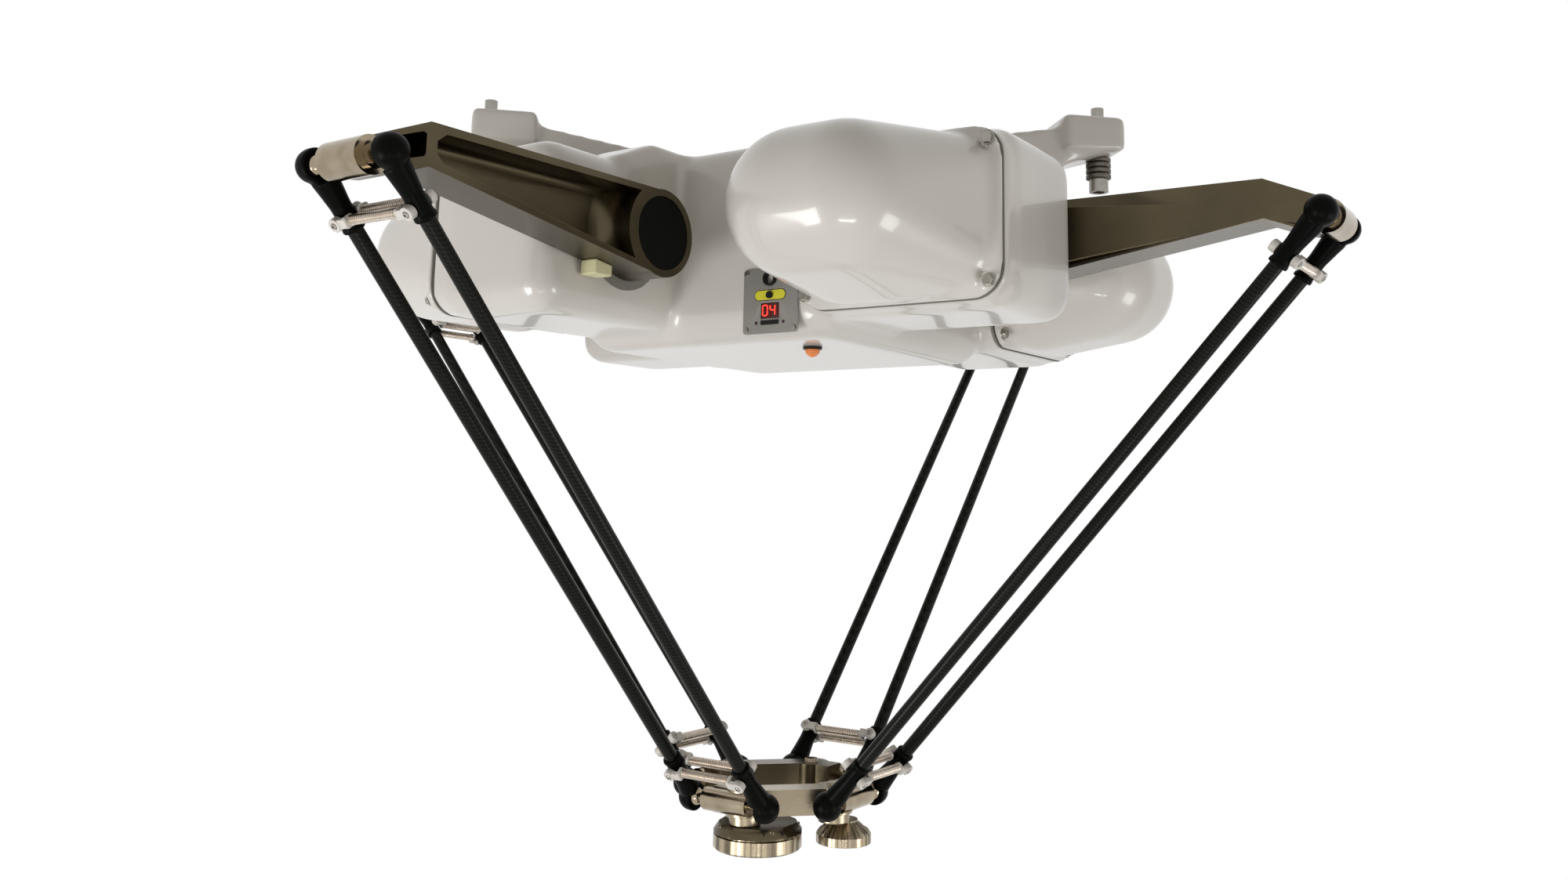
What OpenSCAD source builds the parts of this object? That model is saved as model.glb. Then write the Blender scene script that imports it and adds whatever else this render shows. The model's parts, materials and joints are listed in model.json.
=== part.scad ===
// Overhead parallel picking robot: a cast base with four geared motors, four inner arms,
// four pairs of carbon rods and a four-pivot platform that carries the tool flange.
// Origin: centre of the mounting pads' top plane. +Z up, arm 1 points along +X.

/* [Kinematics] */
// Radius of the circle that the four shoulder axes touch
shoulder_r = 275; // [265:1:300]
// Shoulder axis to elbow ball line
upper_len = 375; // [365:1:420]
// Ball centre to ball centre along a rod
lower_len = 825; // [780:5:900]
// Robot axis to the ball line of each platform bar
plat_r = 100; // [98:1:104]
// Distance between the two rods of a pair
ball_span = 96; // [94:1:110]
// Shoulder axes below the mounting plane
shoulder_drop = 200; // [192:1:210]

/* [Base casting] */
// Half width of the central body
body_half = 185; // [180:1:188]
// Top of the central body above the shoulder axes
body_top = 120; // [115:1:128]
// Underside of the central body below the shoulder axes
body_low = 108; // [100:1:120]
// Rounding of the casting's outer edges
body_round = 34; // [28:1:38]
// Width of a motor block, across the shoulder axis
block_w = 242; // [236:1:248]
// Height of a motor block
block_h = 184; // [180:1:190]
// Outer face of a block's motor seat, from the arm's mid plane
seat_y = 200; // [196:1:210]
// Side of a mounting pad
pad_side = 82; // [76:1:90]
// Thickness of a mounting pad
pad_t = 45; // [40:1:50]
// Pad centre along the arm direction
pad_x = 200; // [196:1:206]
// Pad centre across the arm direction
pad_y = 312; // [306:1:318]
// Mounting bolt, outwards from the pad's centre
bolt_off = 20; // [15:1:24]
// Thickness of the top lid
lid_t = 5; // [3:0.5:8]

/* [Motor covers] */
// Thickness of a cover's flange
flange_t = 9; // [6:1:12]
// Radius of the cover's rounded end
dome_r = 75; // [70:1:78]
// Half the distance between the rounded end's two spheres
dome_half = 25; // [20:1:30]
// Largest radius of a cover, near its seat
belly_r = 87; // [82:1:90]
// Cover's middle, inwards from the shoulder axis
dome_off = 14; // [8:1:18]
// Length of a cover from its seat
dome_len = 188; // [184:1:196]
// Wall of a cover
cover_wall = 5; // [3:0.5:7]
// Thickness of a cover's gasket
gasket_t = 1.5; // [1:0.5:3]

/* [Inner arms] */
// Thickness of an inner arm
arm_w = 52; // [46:1:56]
// Radius of the arm's hub
hub_r = 48; // [46:1:52]
// Radius of the hub's cap
cap_r = 40; // [36:1:42]
// Distance of the bend from the shoulder axis
bend_x = 315; // [300:1:325]
// Height of the arm's top edge at the bend
bend_top = 44; // [40:1:50]
// Height of the arm's lower edge at the bend
bend_low = 3; // [0:1:8]
// Rim round the arm's pockets
rim = 8; // [6:1:10]
// Depth of the arm's pockets
pocket_d = 36; // [25:1:40]
// Radius of the arm's end round the ball bar
tip_r = 17; // [16:1:20]

/* [Ball joints and rods] */
// Radius of the joint balls
ball_r = 10.5; // [9:0.5:12]
// Radius of the socket domes
socket_r = 16; // [15:0.5:17]
// Radius of the steel ball bars
bar_r = 12.5; // [11:0.5:13]
// Outer radius of a carbon tube
tube_r = 7.5; // [6.5:0.5:8]
// Wall of a carbon tube
tube_wall = 1.5; // [1:0.25:2]
// Length of a moulded rod end from ball centre to its collar
end_len = 66; // [60:1:75]
// Radius of a rod end's neck
neck_r = 9.5; // [9:0.5:10.5]
// Ball centre to the spring pivots, along the rod
spring_at = 52; // [48:1:54]
// Outer radius of a spring
spring_r = 4.8; // [4:0.2:5.2]

/* [Platform] */
// Height of the platform's bars
plate_h = 28; // [25:1:30]
// Pivot centre, along the arm direction
pivot_a = 84; // [82:1:86]
// Pivot centre, across the arm direction
pivot_b = 12; // [10:1:16]
// Radius of a pivot boss
boss_r = 21; // [19:1:22]
// Thickness of the side links
link_t = 10; // [8:1:12]
// Radius of the drive disc
disc_r = 50; // [46:1:52]
// Height of the drive disc
disc_h = 28; // [24:1:32]
// Radius of the tool flange
flange_r = 31.5; // [31.5:0.5:34]
// Bolt circle of the tool flange
tool_pcd = 50; // [48:0.5:50]

/* [Fasteners and panel] */
// Nominal diameter of the mounting bolts
mount_d = 16; // [14:1:16]
// Mounting bolt's length above the pad
stud_up = 20; // [15:1:30]
// Number of disc springs on each mounting bolt
disc_count = 8; // [4:1:10]
// Side of the status panel
panel_side = 72; // [68:1:74]
// Thickness of the status panel
panel_t = 3; // [2:0.5:4]

/* [Hidden] */
$fn = 48;

gap = 0.3;                      // running gap between parts that move past each other
eps = 0.02;                     // overshoot of a cut through a face
elbow_r = shoulder_r + upper_len;
rod_reach = elbow_r - plat_r;   // horizontal run of a rod at rest
rod_drop = sqrt(lower_len * lower_len - rod_reach * rod_reach);
rod_tilt = asin(rod_reach / lower_len);
plat_z = -shoulder_drop - rod_drop;

// ---------- frames ----------
module arm_frame(k) {           // origin on the shoulder axis, X outwards, Y to the cap side
    rotate([0, 0, 90 * k]) translate([shoulder_r, 0, -shoulder_drop]) children();
}
module rod_frame(k, side) {     // origin at the elbow ball, Z up along the rod
    arm_frame(k) translate([upper_len, side * ball_span / 2, 0]) rotate([0, rod_tilt, 0]) children();
}
module along_y(y0) {            // turns Z into Y, starting at y0
    translate([0, y0, 0]) rotate([-90, 0, 0]) children();
}
module y_cyl(r, y0, y1) { along_y(y0) cylinder(r = r, h = y1 - y0); }
module y_plate(y0, y1) {        // child outline in X-Z, thick from y0 to y1
    translate([0, y1, 0]) rotate([90, 0, 0]) linear_extrude(y1 - y0) children();
}
module rounded(w, h, r) {       // rounded rectangle from exact circles
    square([w - 2 * r, h], center = true);
    square([w, h - 2 * r], center = true);
    for (sx = [-1, 1], sy = [-1, 1]) translate([sx * (w / 2 - r), sy * (h / 2 - r)]) circle(r = r);
}

// ---------- base casting ----------
arm_gap = 4;                                  // arm's inner face to the casting
block_y = arm_w / 2 + arm_gap;                // inner face of a block
seat_lip = 2;                                 // height of the machined seat on a block
seat_face = seat_y + seat_lip;
gear_r = 72;
gear_y = block_y + 12;                        // outer face of a gear unit
seat_w = block_w - 4;
seat_h = block_h - 8;
seat_corner = 34;
cover_bolt_x = seat_w / 2 - 13;
cover_bolt_z = seat_h / 2 - 18;
cover_bolt_r = 3;
thread_deep = 12;                             // cover bolts' grip in the casting
panel_mid_y = 106;
panel_mid_z = -67;
panel_pocket = 24;                            // hollow behind the panel
pad_turns = [0, 2, 3];                        // corners of the base that carry a pad
pad_under = shoulder_drop - pad_t;            // pad's underside above the shoulder axes
rib_w = 60;
rib_run = 190;                                // from the body's rib root to the pad's centre
ridge_out = 43;                               // raised shoulder's reach past the body's wall
ridge_slope = 55;
ridge_deep = 90;
seal_r = hub_r + 10;                          // rubber seal round the gear output
seal_t = 2.5;
lid_sink = 6;
lid_half = body_half - body_round - 4;
lid_corner = 29.5;
lamp_x = 95;
lamp_y = 100;
lamp_r = 9;

module rounded_block(x0, x1, y0, y1, z0, z1, r) {
    hull() for (x = [x0 + r, x1 - r], y = [y0 + r, y1 - r], z = [z0 + r, z1 - r])
        translate([x, y, z]) sphere(r = r, $fn = 28);
}
module pad_frame(k) {           // origin at a pad's centre, X outwards along the diagonal
    rotate([0, 0, 90 * k]) translate([pad_x, -pad_y, 0]) rotate([0, 0, -45]) children();
}
module pad_bolt(k) {            // the hidden pad's bolt sits inwards, so the robot fits one way only
    pad_frame(k) translate([k == 3 ? -bolt_off : bolt_off, 0, 0]) children();
}
module pad_rib() {              // web from the central body out to the pad
    foot = rib_run + pad_side / 2;
    translate([-foot, rib_w / 2, -shoulder_drop]) rotate([90, 0, 0]) linear_extrude(rib_w)
        polygon([[0, 60], [0, body_top - 4], [rib_run, pad_under + 12], [rib_run, pad_under + 30],
            [foot + 20, pad_under + 10], [foot + 20, pad_under], [foot - 30, pad_under - 16],
            [120, body_top - 44], [60, 60]]);
}
module shoulder_ridge() {       // body's top carried out over a block, then sloping down to it
    wall = body_half - shoulder_r;
    y_plate(-block_y - ridge_deep, -block_y) polygon([[wall - 30, 0], [wall - 30, body_top - 1],
        [wall + ridge_out, body_top - 1], [wall + ridge_out + ridge_slope, block_h / 2 + 2],
        [wall + ridge_out + ridge_slope, 0]]);
}
module base_casting() {
    color("#e9e7e1") difference() {
        union() {
            translate([0, 0, -shoulder_drop])
                rounded_block(-body_half, body_half, -body_half, body_half, -body_low, body_top, body_round);
            for (k = [0:3]) arm_frame(k) {
                rounded_block(-block_w / 2, block_w / 2, -seat_y, -block_y, -block_h / 2, block_h / 2,
                    body_round - 4);
                y_plate(-seat_face, -seat_y + body_round) rounded(seat_w, seat_h, seat_corner);
                shoulder_ridge();
            }
            for (k = pad_turns) pad_frame(k) {
                translate([-pad_side / 2, -pad_side / 2, -pad_t]) cube([pad_side, pad_side, pad_t]);
                pad_rib();
            }
        }
        for (k = [0:3]) arm_frame(k) {
            y_cyl(gear_r + gap, -seat_face - 1, -gear_y);
            y_cyl(hub_r - 1, -gear_y - 1, -block_y + 3);
            for (sx = [-1, 1], sz = [-1, 1]) translate([sx * cover_bolt_x, 0, sz * cover_bolt_z])
                y_cyl(cover_bolt_r + gap, -seat_face - 1, -seat_y + thread_deep + 4);
        }
        for (k = pad_turns) {
            pad_bolt(k) translate([0, 0, -pad_t - 30]) cylinder(d = mount_d + 1.5, h = pad_t + 31);
            pad_bolt(k) translate([0, 0, -pad_t - 60]) cylinder(r = spring_disc_r + 3, h = 60 + eps);
            pad_bolt(k) translate([k == 3 ? 2 * bolt_off : -2 * bolt_off, 0, -pad_t - 40])
                cylinder(r = 4, h = pad_t + 41);
        }
        translate([0, 0, body_top - shoulder_drop - lid_sink]) linear_extrude(lid_sink + 4)
            rounded(2 * lid_half + 1, 2 * lid_half + 1, lid_corner + 0.5);
        panel_frame() {
            cube([panel_side - 16, panel_side - 16, 2 * panel_pocket], center = true);
            translate([0, port_up, -panel_pocket]) cylinder(r = port_r + gap, h = 30);
        }
        lamp_frame() translate([0, 0, -10]) cylinder(r = lamp_r - 2, h = 20);
    }
}
module top_lid() {
    color("#3c3b38") translate([0, 0, body_top - shoulder_drop - lid_sink])
        linear_extrude(lid_t) difference() {
            rounded(2 * lid_half, 2 * lid_half, lid_corner);
            for (sx = [-1, 1], sy = [-1, 1]) translate([sx * lid_half / 2, sy * lid_half / 2]) circle(r = 2.6);
        }
}

// ---------- motors, gear units and covers ----------
cover_seat = -seat_face - gasket_t;
reducer_r = 50;
reducer_y = seat_y - 60;        // gear unit's big stage ends, small stage starts
motor_flange_y = seat_y - 20;
motor_body_y = seat_y + 130;
motor_end_y = motor_body_y + 30;
motor_side = 80;
motor_flange_side = 90;
encoder_r = 34;
module gear_units() {
    color("#6f7072") for (k = [0:3]) arm_frame(k) {
        y_cyl(hub_r - 1.5, -gear_y, -arm_w / 2 - gap);
        y_cyl(gear_r, -reducer_y, -gear_y);
        y_cyl(reducer_r, -motor_flange_y, -reducer_y);
    }
}
module motors() {
    color("#2b2c2e") for (k = [0:3]) arm_frame(k) {
        y_plate(-seat_y + 2, -motor_flange_y) rounded(motor_flange_side, motor_flange_side, 10);
        y_plate(-motor_body_y, -seat_y + 2) rounded(motor_side, motor_side, 18);
        y_cyl(encoder_r, -motor_end_y, -motor_body_y);
    }
}
module cover_gaskets() {        // gaskets of the covers and seals of the gear outputs
    color("#4a4a48") for (k = [0:3]) arm_frame(k) {
        y_plate(cover_seat, -seat_face) difference() {
            rounded(seat_w - 3, seat_h - 3, seat_corner - 1.5);
            rounded(seat_w - 50, seat_h - 40, 20);
            for (sx = [-1, 1], sz = [-1, 1]) translate([sx * cover_bolt_x, sz * cover_bolt_z]) circle(r = 3.6);
        }
        y_plate(-block_y, -block_y + seal_t) difference() {
            circle(r = seal_r);
            circle(r = hub_r - 1);
        }
    }
}
foot_r = 44;
foot_y = cover_seat - flange_t - 3;
belly_y = foot_y - 16;
dome_y = cover_seat - dome_len + dome_r;
module cover_bulb(inset, front, smooth) {     // from the foot out to the belly, then in to the round end
    hull() {
        for (sx = [-1, 1], sz = [-1, 1])
            translate([sx * (seat_w / 2 - 12 - foot_r), 0, sz * (seat_h / 2 - 8 - foot_r)])
                y_cyl(foot_r - inset, foot_y, front, $fn = smooth);
        for (sx = [-1, 1]) translate([sx * dome_half - dome_off, 0, 0]) {
            y_cyl(belly_r - inset, belly_y - 10, belly_y, $fn = smooth);
            translate([0, dome_y, 0]) sphere(r = dome_r - inset, $fn = smooth);
        }
    }
}
module motor_cover(k) {
    color("#efede8") arm_frame(k) difference() {
        union() {
            y_plate(cover_seat - flange_t, cover_seat) rounded(seat_w - 2, seat_h - 2, seat_corner - 1);
            cover_bulb(0, cover_seat - flange_t + 1, 36);
        }
        cover_bulb(cover_wall, cover_seat + 1, 24);
        for (sx = [-1, 1], sz = [-1, 1]) translate([sx * cover_bolt_x, 0, sz * cover_bolt_z]) {
            y_cyl(cover_bolt_r + 2 * gap, cover_seat - 60, cover_seat + 1);
            y_cyl(9, cover_seat - 60, cover_seat - flange_t);
        }
    }
}
module base_fasteners() {
    washer_y = cover_seat - flange_t;
    color("#b9b9b6") {
        for (k = [0:3]) arm_frame(k) for (sx = [-1, 1], sz = [-1, 1])
            translate([sx * cover_bolt_x, 0, sz * cover_bolt_z]) {
                y_cyl(cover_bolt_r, washer_y, -seat_y + thread_deep);
                y_cyl(7, washer_y - 1.5, washer_y);
                y_cyl(5.8, washer_y - 6, washer_y - 1.5, $fn = 6);
            }
        panel_screws() {
            cylinder(r = 1.4, h = panel_t);
            translate([0, 0, panel_t]) cylinder(r = 3, h = 2);
        }
    }
}

// ---------- mounting bolts ----------
spring_disc_t = 3.6;
spring_disc_r = 15.7;
stack_h = disc_count * spring_disc_t;
relief = 1;                     // hidden bolt's thread starts this far above its pad
module mount_bolts() {
    color("#8d8d88") for (k = pad_turns) pad_bolt(k) difference() {
        start = k == 3 ? relief : 0;
        union() {
            translate([0, 0, start]) cylinder(d = mount_d, h = stud_up - start);
            translate([0, 0, -pad_t - stack_h]) cylinder(d = mount_d - 0.8, h = pad_t + stack_h + start);
            translate([0, 0, -pad_t - stack_h - mount_d]) cylinder(d = 1.5 * mount_d, h = mount_d);
        }
        translate([0, 0, -pad_t - stack_h - mount_d - eps]) cylinder(d = mount_d, h = mount_d / 2, $fn = 6);
    }
}
module disc_springs() {         // cupped discs stacked in turn
    bore = mount_d / 2 + 0.2;
    flat = spring_disc_t - 2.2;
    color("#77766f") for (k = pad_turns) pad_bolt(k)
        for (i = [0:disc_count - 1]) translate([0, 0, -pad_t - stack_h + i * spring_disc_t]) rotate_extrude()
            polygon(i % 2 == 0
                ? [[bore, 0], [13, 0], [spring_disc_r, flat], [spring_disc_r, spring_disc_t],
                    [12, spring_disc_t], [bore, 2.2]]
                : [[bore, flat], [12, 0], [spring_disc_r, 0], [spring_disc_r, 2.2],
                    [13, spring_disc_t], [bore, spring_disc_t]]);
}

// ---------- status panel and lamp ----------
port_up = 24;                   // places on the panel, from its centre
button_up = 6;
display_up = -11;
lights_up = -24;
lights_x = 18;
screw_at = panel_side / 2 - 4.5;
port_r = 8;
button_r = 4;
window_w = 24;
window_h = 17;
module panel_frame() {          // X along the wall, Y up, Z out of the wall, origin on the wall
    translate([body_half, panel_mid_y, panel_mid_z - shoulder_drop]) rotate([90, 0, 90]) children();
}
module panel_screws() { panel_frame() for (sx = [-1, 1], sy = [-1, 1]) translate([sx * screw_at, sy * screw_at, 0]) children(); }
module lamp_frame() { translate([lamp_x, lamp_y, -shoulder_drop - body_low]) rotate([180, 0, 0]) children(); }
module status_panel() {
    color("#8e8f91") panel_frame() linear_extrude(panel_t) difference() {
        rounded(panel_side, panel_side, 4);
        for (sx = [-1, 1], sy = [-1, 1]) translate([sx * screw_at, sy * screw_at]) circle(r = 1.4);
        translate([0, port_up]) circle(r = port_r + 0.2);
        translate([0, button_up]) circle(r = button_r + gap);
        translate([0, display_up]) square([window_w + 0.4, window_h + 0.4], center = true);
        for (sx = [-1, 1]) translate([sx * lights_x, lights_up]) circle(r = 1.8);
    }
}
module display() {
    color("#5a0d0b") panel_frame() {
        translate([-window_w / 2, display_up - window_h / 2, -4]) cube([window_w, window_h, panel_t + 3]);
        for (sx = [-1, 1]) translate([sx * lights_x, lights_up, -4]) cylinder(r = 1.6, h = panel_t + 4.6);
    }
}
module service_port() {
    color("#2c2c2e") panel_frame() translate([0, port_up, -14]) difference() {
        cylinder(r = port_r, h = 14 + panel_t + 4);
        translate([0, 0, 9]) cylinder(r = port_r - 2, h = 30);
    }
}
module brake_button() {
    color("#1c1c1c") panel_frame() translate([0, button_up, -4]) cylinder(r = button_r, h = 4 + panel_t + 3);
}
module lamp_bezel() {
    color("#2a2a2a") lamp_frame() difference() {
        union() {
            cylinder(r = lamp_r + 2, h = 3);
            translate([0, 0, -8]) cylinder(r = lamp_r - 2.1, h = 9);
        }
        translate([0, 0, -9]) cylinder(r = lamp_r - 4, h = 20);
    }
}
module lamp_lens() {
    color("#d8641a") lamp_frame() translate([0, 0, 3]) difference() {
        sphere(r = lamp_r);
        translate([-15, -15, -30]) cube([30, 30, 30]);
        sphere(r = lamp_r - 1.6);
    }
}

// ---------- inner arms ----------
cap_deep = 8;
flange_bolt_r = 29;             // circle of the screws that hold the arm to its gear unit
bumper_x = 45;                  // bumper's start from the shoulder axis
bumper_l = 25;
bumper_w = 22;
under_x = 4;                    // where the arm's lower edge leaves the hub
under_z = 1.5 - hub_r;
function under(x) = under_z + (bend_low - under_z) * (x - under_x) / (bend_x - under_x);
module arm_outline() {
    circle(r = hub_r, $fn = 96);
    polygon([[-5, hub_r - 1], [bend_x, bend_top], [upper_len + 5, tip_r - 2], [upper_len - 3, 3 - tip_r],
        [upper_len - 28, -10], [bend_x, bend_low], [under_x, under_z]]);
    translate([upper_len, 0]) circle(r = tip_r);
}
module main_pocket() {          // hollow between the hub and the bend
    difference() {
        polygon([[20, hub_r - rim], [bend_x - 18, bend_top - rim], [bend_x - 8, bend_top - rim - 8],
            [bend_x - 8, bend_low + rim + 6], [bend_x - 16, bend_low + rim - 2], [20, -hub_r + rim + 2]]);
        circle(r = hub_r + 6, $fn = 96);
    }
}
module tip_pocket() {           // small hollow past the bend
    polygon([[bend_x + 4, bend_top - rim - 4], [bend_x + 8, bend_top - rim - 3], [bend_x + 36, 22],
        [bend_x + 36, 8], [bend_x + 30, 3], [bend_x + 6, bend_low + rim], [bend_x + 4, bend_low + rim + 3]]);
}
module inner_arm(k) {
    color("#8a8171") arm_frame(k) difference() {
        y_plate(-arm_w / 2, arm_w / 2) arm_outline();
        y_plate(arm_w / 2 - pocket_d, arm_w / 2 + 1) main_pocket();
        y_plate(arm_w / 2 - pocket_d, arm_w / 2 + 1) tip_pocket();
        y_cyl(cap_r + 0.1, arm_w / 2 - cap_deep, arm_w / 2 + 1);
        y_cyl(14, -arm_w / 2 - 1, arm_w / 2);
        for (i = [0:7]) rotate([0, i * 45, 0]) translate([flange_bolt_r, 0, 0]) y_cyl(4.2, -arm_w / 2 - 1, arm_w / 2);
        translate([upper_len, 0, 0]) y_cyl(bar_r - 2, -arm_w / 2 - 1, arm_w / 2 + 1);
    }
}
module hub_cap(k) {
    color("#141414") arm_frame(k) difference() {
        y_cyl(cap_r, arm_w / 2 - cap_deep, arm_w / 2 - 1);
        y_cyl(cap_r - 3, arm_w / 2 - cap_deep - 1, arm_w / 2 - 3.5);
    }
}
module arm_bumper(k) {          // sits under the arm, its top cut to the arm's sloping edge
    low = -hub_r - 4;
    color("#ded5a6") arm_frame(k) y_plate(-arm_w / 2, -arm_w / 2 + bumper_w) polygon([
        [bumper_x, low], [bumper_x + bumper_l, low],
        [bumper_x + bumper_l, under(bumper_x + bumper_l)], [bumper_x, under(bumper_x)]]);
}

// ---------- ball joints ----------
stud_r = 5;
bar_end = ball_span / 2 - 17;
module ball_and_stud(side) {    // ball on the joint line with its neck towards the bar
    translate([0, side * ball_span / 2, 0]) sphere(r = ball_r);
    rotate([side > 0 ? -90 : 90, 0, 0]) translate([0, 0, bar_end]) cylinder(r = stud_r, h = ball_span / 2 - bar_end);
}
module ball_bar(k) {
    color("#b8b2a4") arm_frame(k) translate([upper_len, 0, 0]) {
        y_cyl(bar_r - 2, -bar_end, bar_end);
        for (side = [-1, 1]) {
            mirror([0, side < 0 ? 1 : 0, 0]) {
                y_cyl(bar_r, arm_w / 2, bar_end);
                y_cyl(bar_r - 3, bar_end, bar_end + 3);
            }
            ball_and_stud(side);
        }
    }
}
module ball_studs(k) {
    color("#c4c0b6") for (side = [-1, 1]) rod_frame(k, side) translate([0, 0, -lower_len]) {
        sphere(r = ball_r);
        rotate([side > 0 ? 90 : -90, 0, 0]) cylinder(r = stud_r, h = ball_span / 2 - bar_end);
    }
}

// ---------- rods ----------
module socket(side) {           // cup that opens towards the pair's middle
    mirror([0, side < 0 ? 1 : 0, 0]) difference() {
        union() {
            translate([0, 3, 0]) sphere(r = socket_r);
            y_cyl(socket_r, -3.5, 3);
        }
        sphere(r = ball_r + gap);
        y_cyl(ball_r - 1, -30, 0);
    }
}
module rod_end(side) {          // socket at the origin, neck along -Z
    difference() {
        union() {
            socket(side);
            translate([0, 0, -end_len]) cylinder(r = neck_r, h = end_len - ball_r - 2);
            translate([0, 0, -end_len]) cylinder(r = neck_r + 1, h = 5);
        }
        translate([0, 0, -end_len - eps]) cylinder(r = tube_r, h = 30 + eps);
        sphere(r = ball_r + gap);
        for (s = [-1, 1]) translate([-s * neck_r, 0, -spring_at]) rotate([0, 90, 0])
            cylinder(r = 1.5, h = 8, center = true);
    }
}
module rod_ends(k) {
    color("#17181a") for (side = [-1, 1]) rod_frame(k, side) {
        rod_end(side);
        translate([0, 0, -lower_len]) rotate([180, 0, 0]) rod_end(-side);
    }
}
module rod_tubes(k) {
    color("#26282b") for (side = [-1, 1]) rod_frame(k, side) translate([0, 0, -lower_len + end_len - 30])
        difference() {
            cylinder(r = tube_r, h = lower_len - 2 * end_len + 60);
            translate([0, 0, -1]) cylinder(r = tube_r - tube_wall, h = lower_len);
        }
}

// ---------- spring links ----------
link_off = neck_r + 2.6;        // springs in front of and behind the rods
link_len = 17;
spring_half = ball_span / 2 - link_len;
module spring_places(k) {       // middle of each of the four springs of a rod pair
    for (level = [-spring_at, -lower_len + spring_at], s = [-1, 1])
        arm_frame(k) translate([upper_len, 0, 0]) rotate([0, rod_tilt, 0]) translate([s * (link_off + 2), 0, level])
            children();
}
module rod_springs(k) {
    turns = 13;
    pitch = 2 * spring_half / turns;
    color("#a9a69c") spring_places(k) along_y(-spring_half) rotate_extrude($fn = 24) {
        translate([spring_r - 1.8, 0]) square([1.2, 2 * spring_half]);
        for (i = [0:turns - 1]) translate([spring_r - 1, (i + 0.5) * pitch]) circle(r = 0.45 * pitch, $fn = 8);
    }
}
module spring_links(k) {
    color("#e3e0da") for (level = [-spring_at, -lower_len + spring_at], s = [-1, 1], side = [-1, 1])
        rod_frame(k, side) translate([0, 0, level]) {
            translate([s * (neck_r + 0.1), 0, 0]) rotate([0, s * 90, 0]) cylinder(r = 5.2, h = 6.4);
            translate([s * (link_off + 2), 0, 0]) mirror([0, side > 0 ? 1 : 0, 0]) {
                y_cyl(3.4, 4, link_len);
                y_cyl(spring_r, link_len - 6, link_len);
            }
        }
}

// ---------- platform ----------
plat_low = -plate_h / 2;
pin_r = 8;                      // pivot pins of the side links
bar_out = plat_r - 2;
bar_in = plat_r - 30;
bar_side = 22;
bar_notch = 10;                 // where a bar's inner face starts to slope
disc_at = [62, 14];             // drive disc's axis
flange_at = [-6, 86];           // tool flange's axis
module pair_bar() {             // bar that carries the ball bars of two neighbouring arms
    translate([0, 0, plat_low]) linear_extrude(plate_h) difference() {
        union() {
            translate([pivot_a, pivot_b]) circle(r = boss_r);
            translate([pivot_b, pivot_a]) circle(r = boss_r);
            polygon([[bar_out, -bar_side], [bar_out, bar_side], [bar_side, bar_out], [-bar_side, bar_out],
                [-bar_side, bar_in], [bar_notch, bar_in], [bar_in, bar_notch], [bar_in, -bar_side]]);
        }
        translate([pivot_a, pivot_b]) circle(r = pin_r + 0.1);
        translate([pivot_b, pivot_a]) circle(r = pin_r + 0.1);
    }
}
module bar_bores(k0) {
    for (k = [k0, k0 + 1]) rotate([0, 0, 90 * k]) translate([plat_r, 0, 0]) y_cyl(bar_r + 0.05, -bar_end, bar_end);
}
module front_bar() {
    color("#a39a86") translate([0, 0, plat_z]) difference() {
        pair_bar();
        bar_bores(0);
    }
}
module rear_bar() {
    color("#a39a86") translate([0, 0, plat_z]) difference() {
        rotate([0, 0, 180]) pair_bar();
        bar_bores(2);
    }
}
module side_links() {
    color("#998f7c") for (k = [0, 2]) rotate([0, 0, 90 * k]) translate([0, 0, plat_z + plat_low - link_t - gap]) {
        linear_extrude(link_t) difference() {
            union() {
                translate([pivot_a, pivot_b]) circle(r = boss_r - 3);
                translate([-pivot_b, -pivot_a]) circle(r = boss_r - 3);
                polygon([[pivot_a + 12, pivot_b - 12], [-pivot_b + 12, -pivot_a - 12],
                    [-pivot_b - 12, -pivot_a + 12], [pivot_a - 12, pivot_b + 12]]);
            }
        }
        for (p = [[pivot_a, pivot_b], [-pivot_b, -pivot_a]]) translate([p[0], p[1], link_t])
            cylinder(r = pin_r, h = plate_h + gap + 4);
    }
}
module platform_ball_bars() {
    color("#b3ab9a") for (k = [0:3]) rotate([0, 0, 90 * k]) translate([plat_r, 0, plat_z])
        difference() {
            y_cyl(bar_r, -bar_end + gap, bar_end - gap);
            translate([pivot_a - plat_r, k % 2 == 0 ? pivot_b : -pivot_b, -bar_r - 1])
                cylinder(r = pin_r + gap, h = 2 * bar_r + 2);
        }
}
disc_top = plat_z + plat_low - link_t - 2 * gap;
module drive_disc() {
    color("#a09683") translate([disc_at[0], disc_at[1], disc_top - disc_h]) difference() {
        union() {
            cylinder(r = disc_r, h = disc_h * 0.62);
            translate([0, 0, disc_h * 0.66]) cylinder(r = disc_r, h = disc_h * 0.16);
            translate([0, 0, disc_h * 0.6]) cylinder(r = disc_r - 1, h = disc_h * 0.1);
            intersection() {
                cylinder(r = disc_r - 2, h = disc_h);
                cube([2 * disc_r, 1.3 * disc_r, 2 * disc_h], center = true);
            }
        }
        translate([0, 0, -eps]) cylinder(r = 15, h = 8);
    }
}
flange_ring_h = 4.5;
flange_rim_h = 12;
flange_cone_h = 8.5;
flange_ring_r = 16;
flange_bottom = disc_top - flange_ring_h - flange_cone_h - flange_rim_h;
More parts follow.
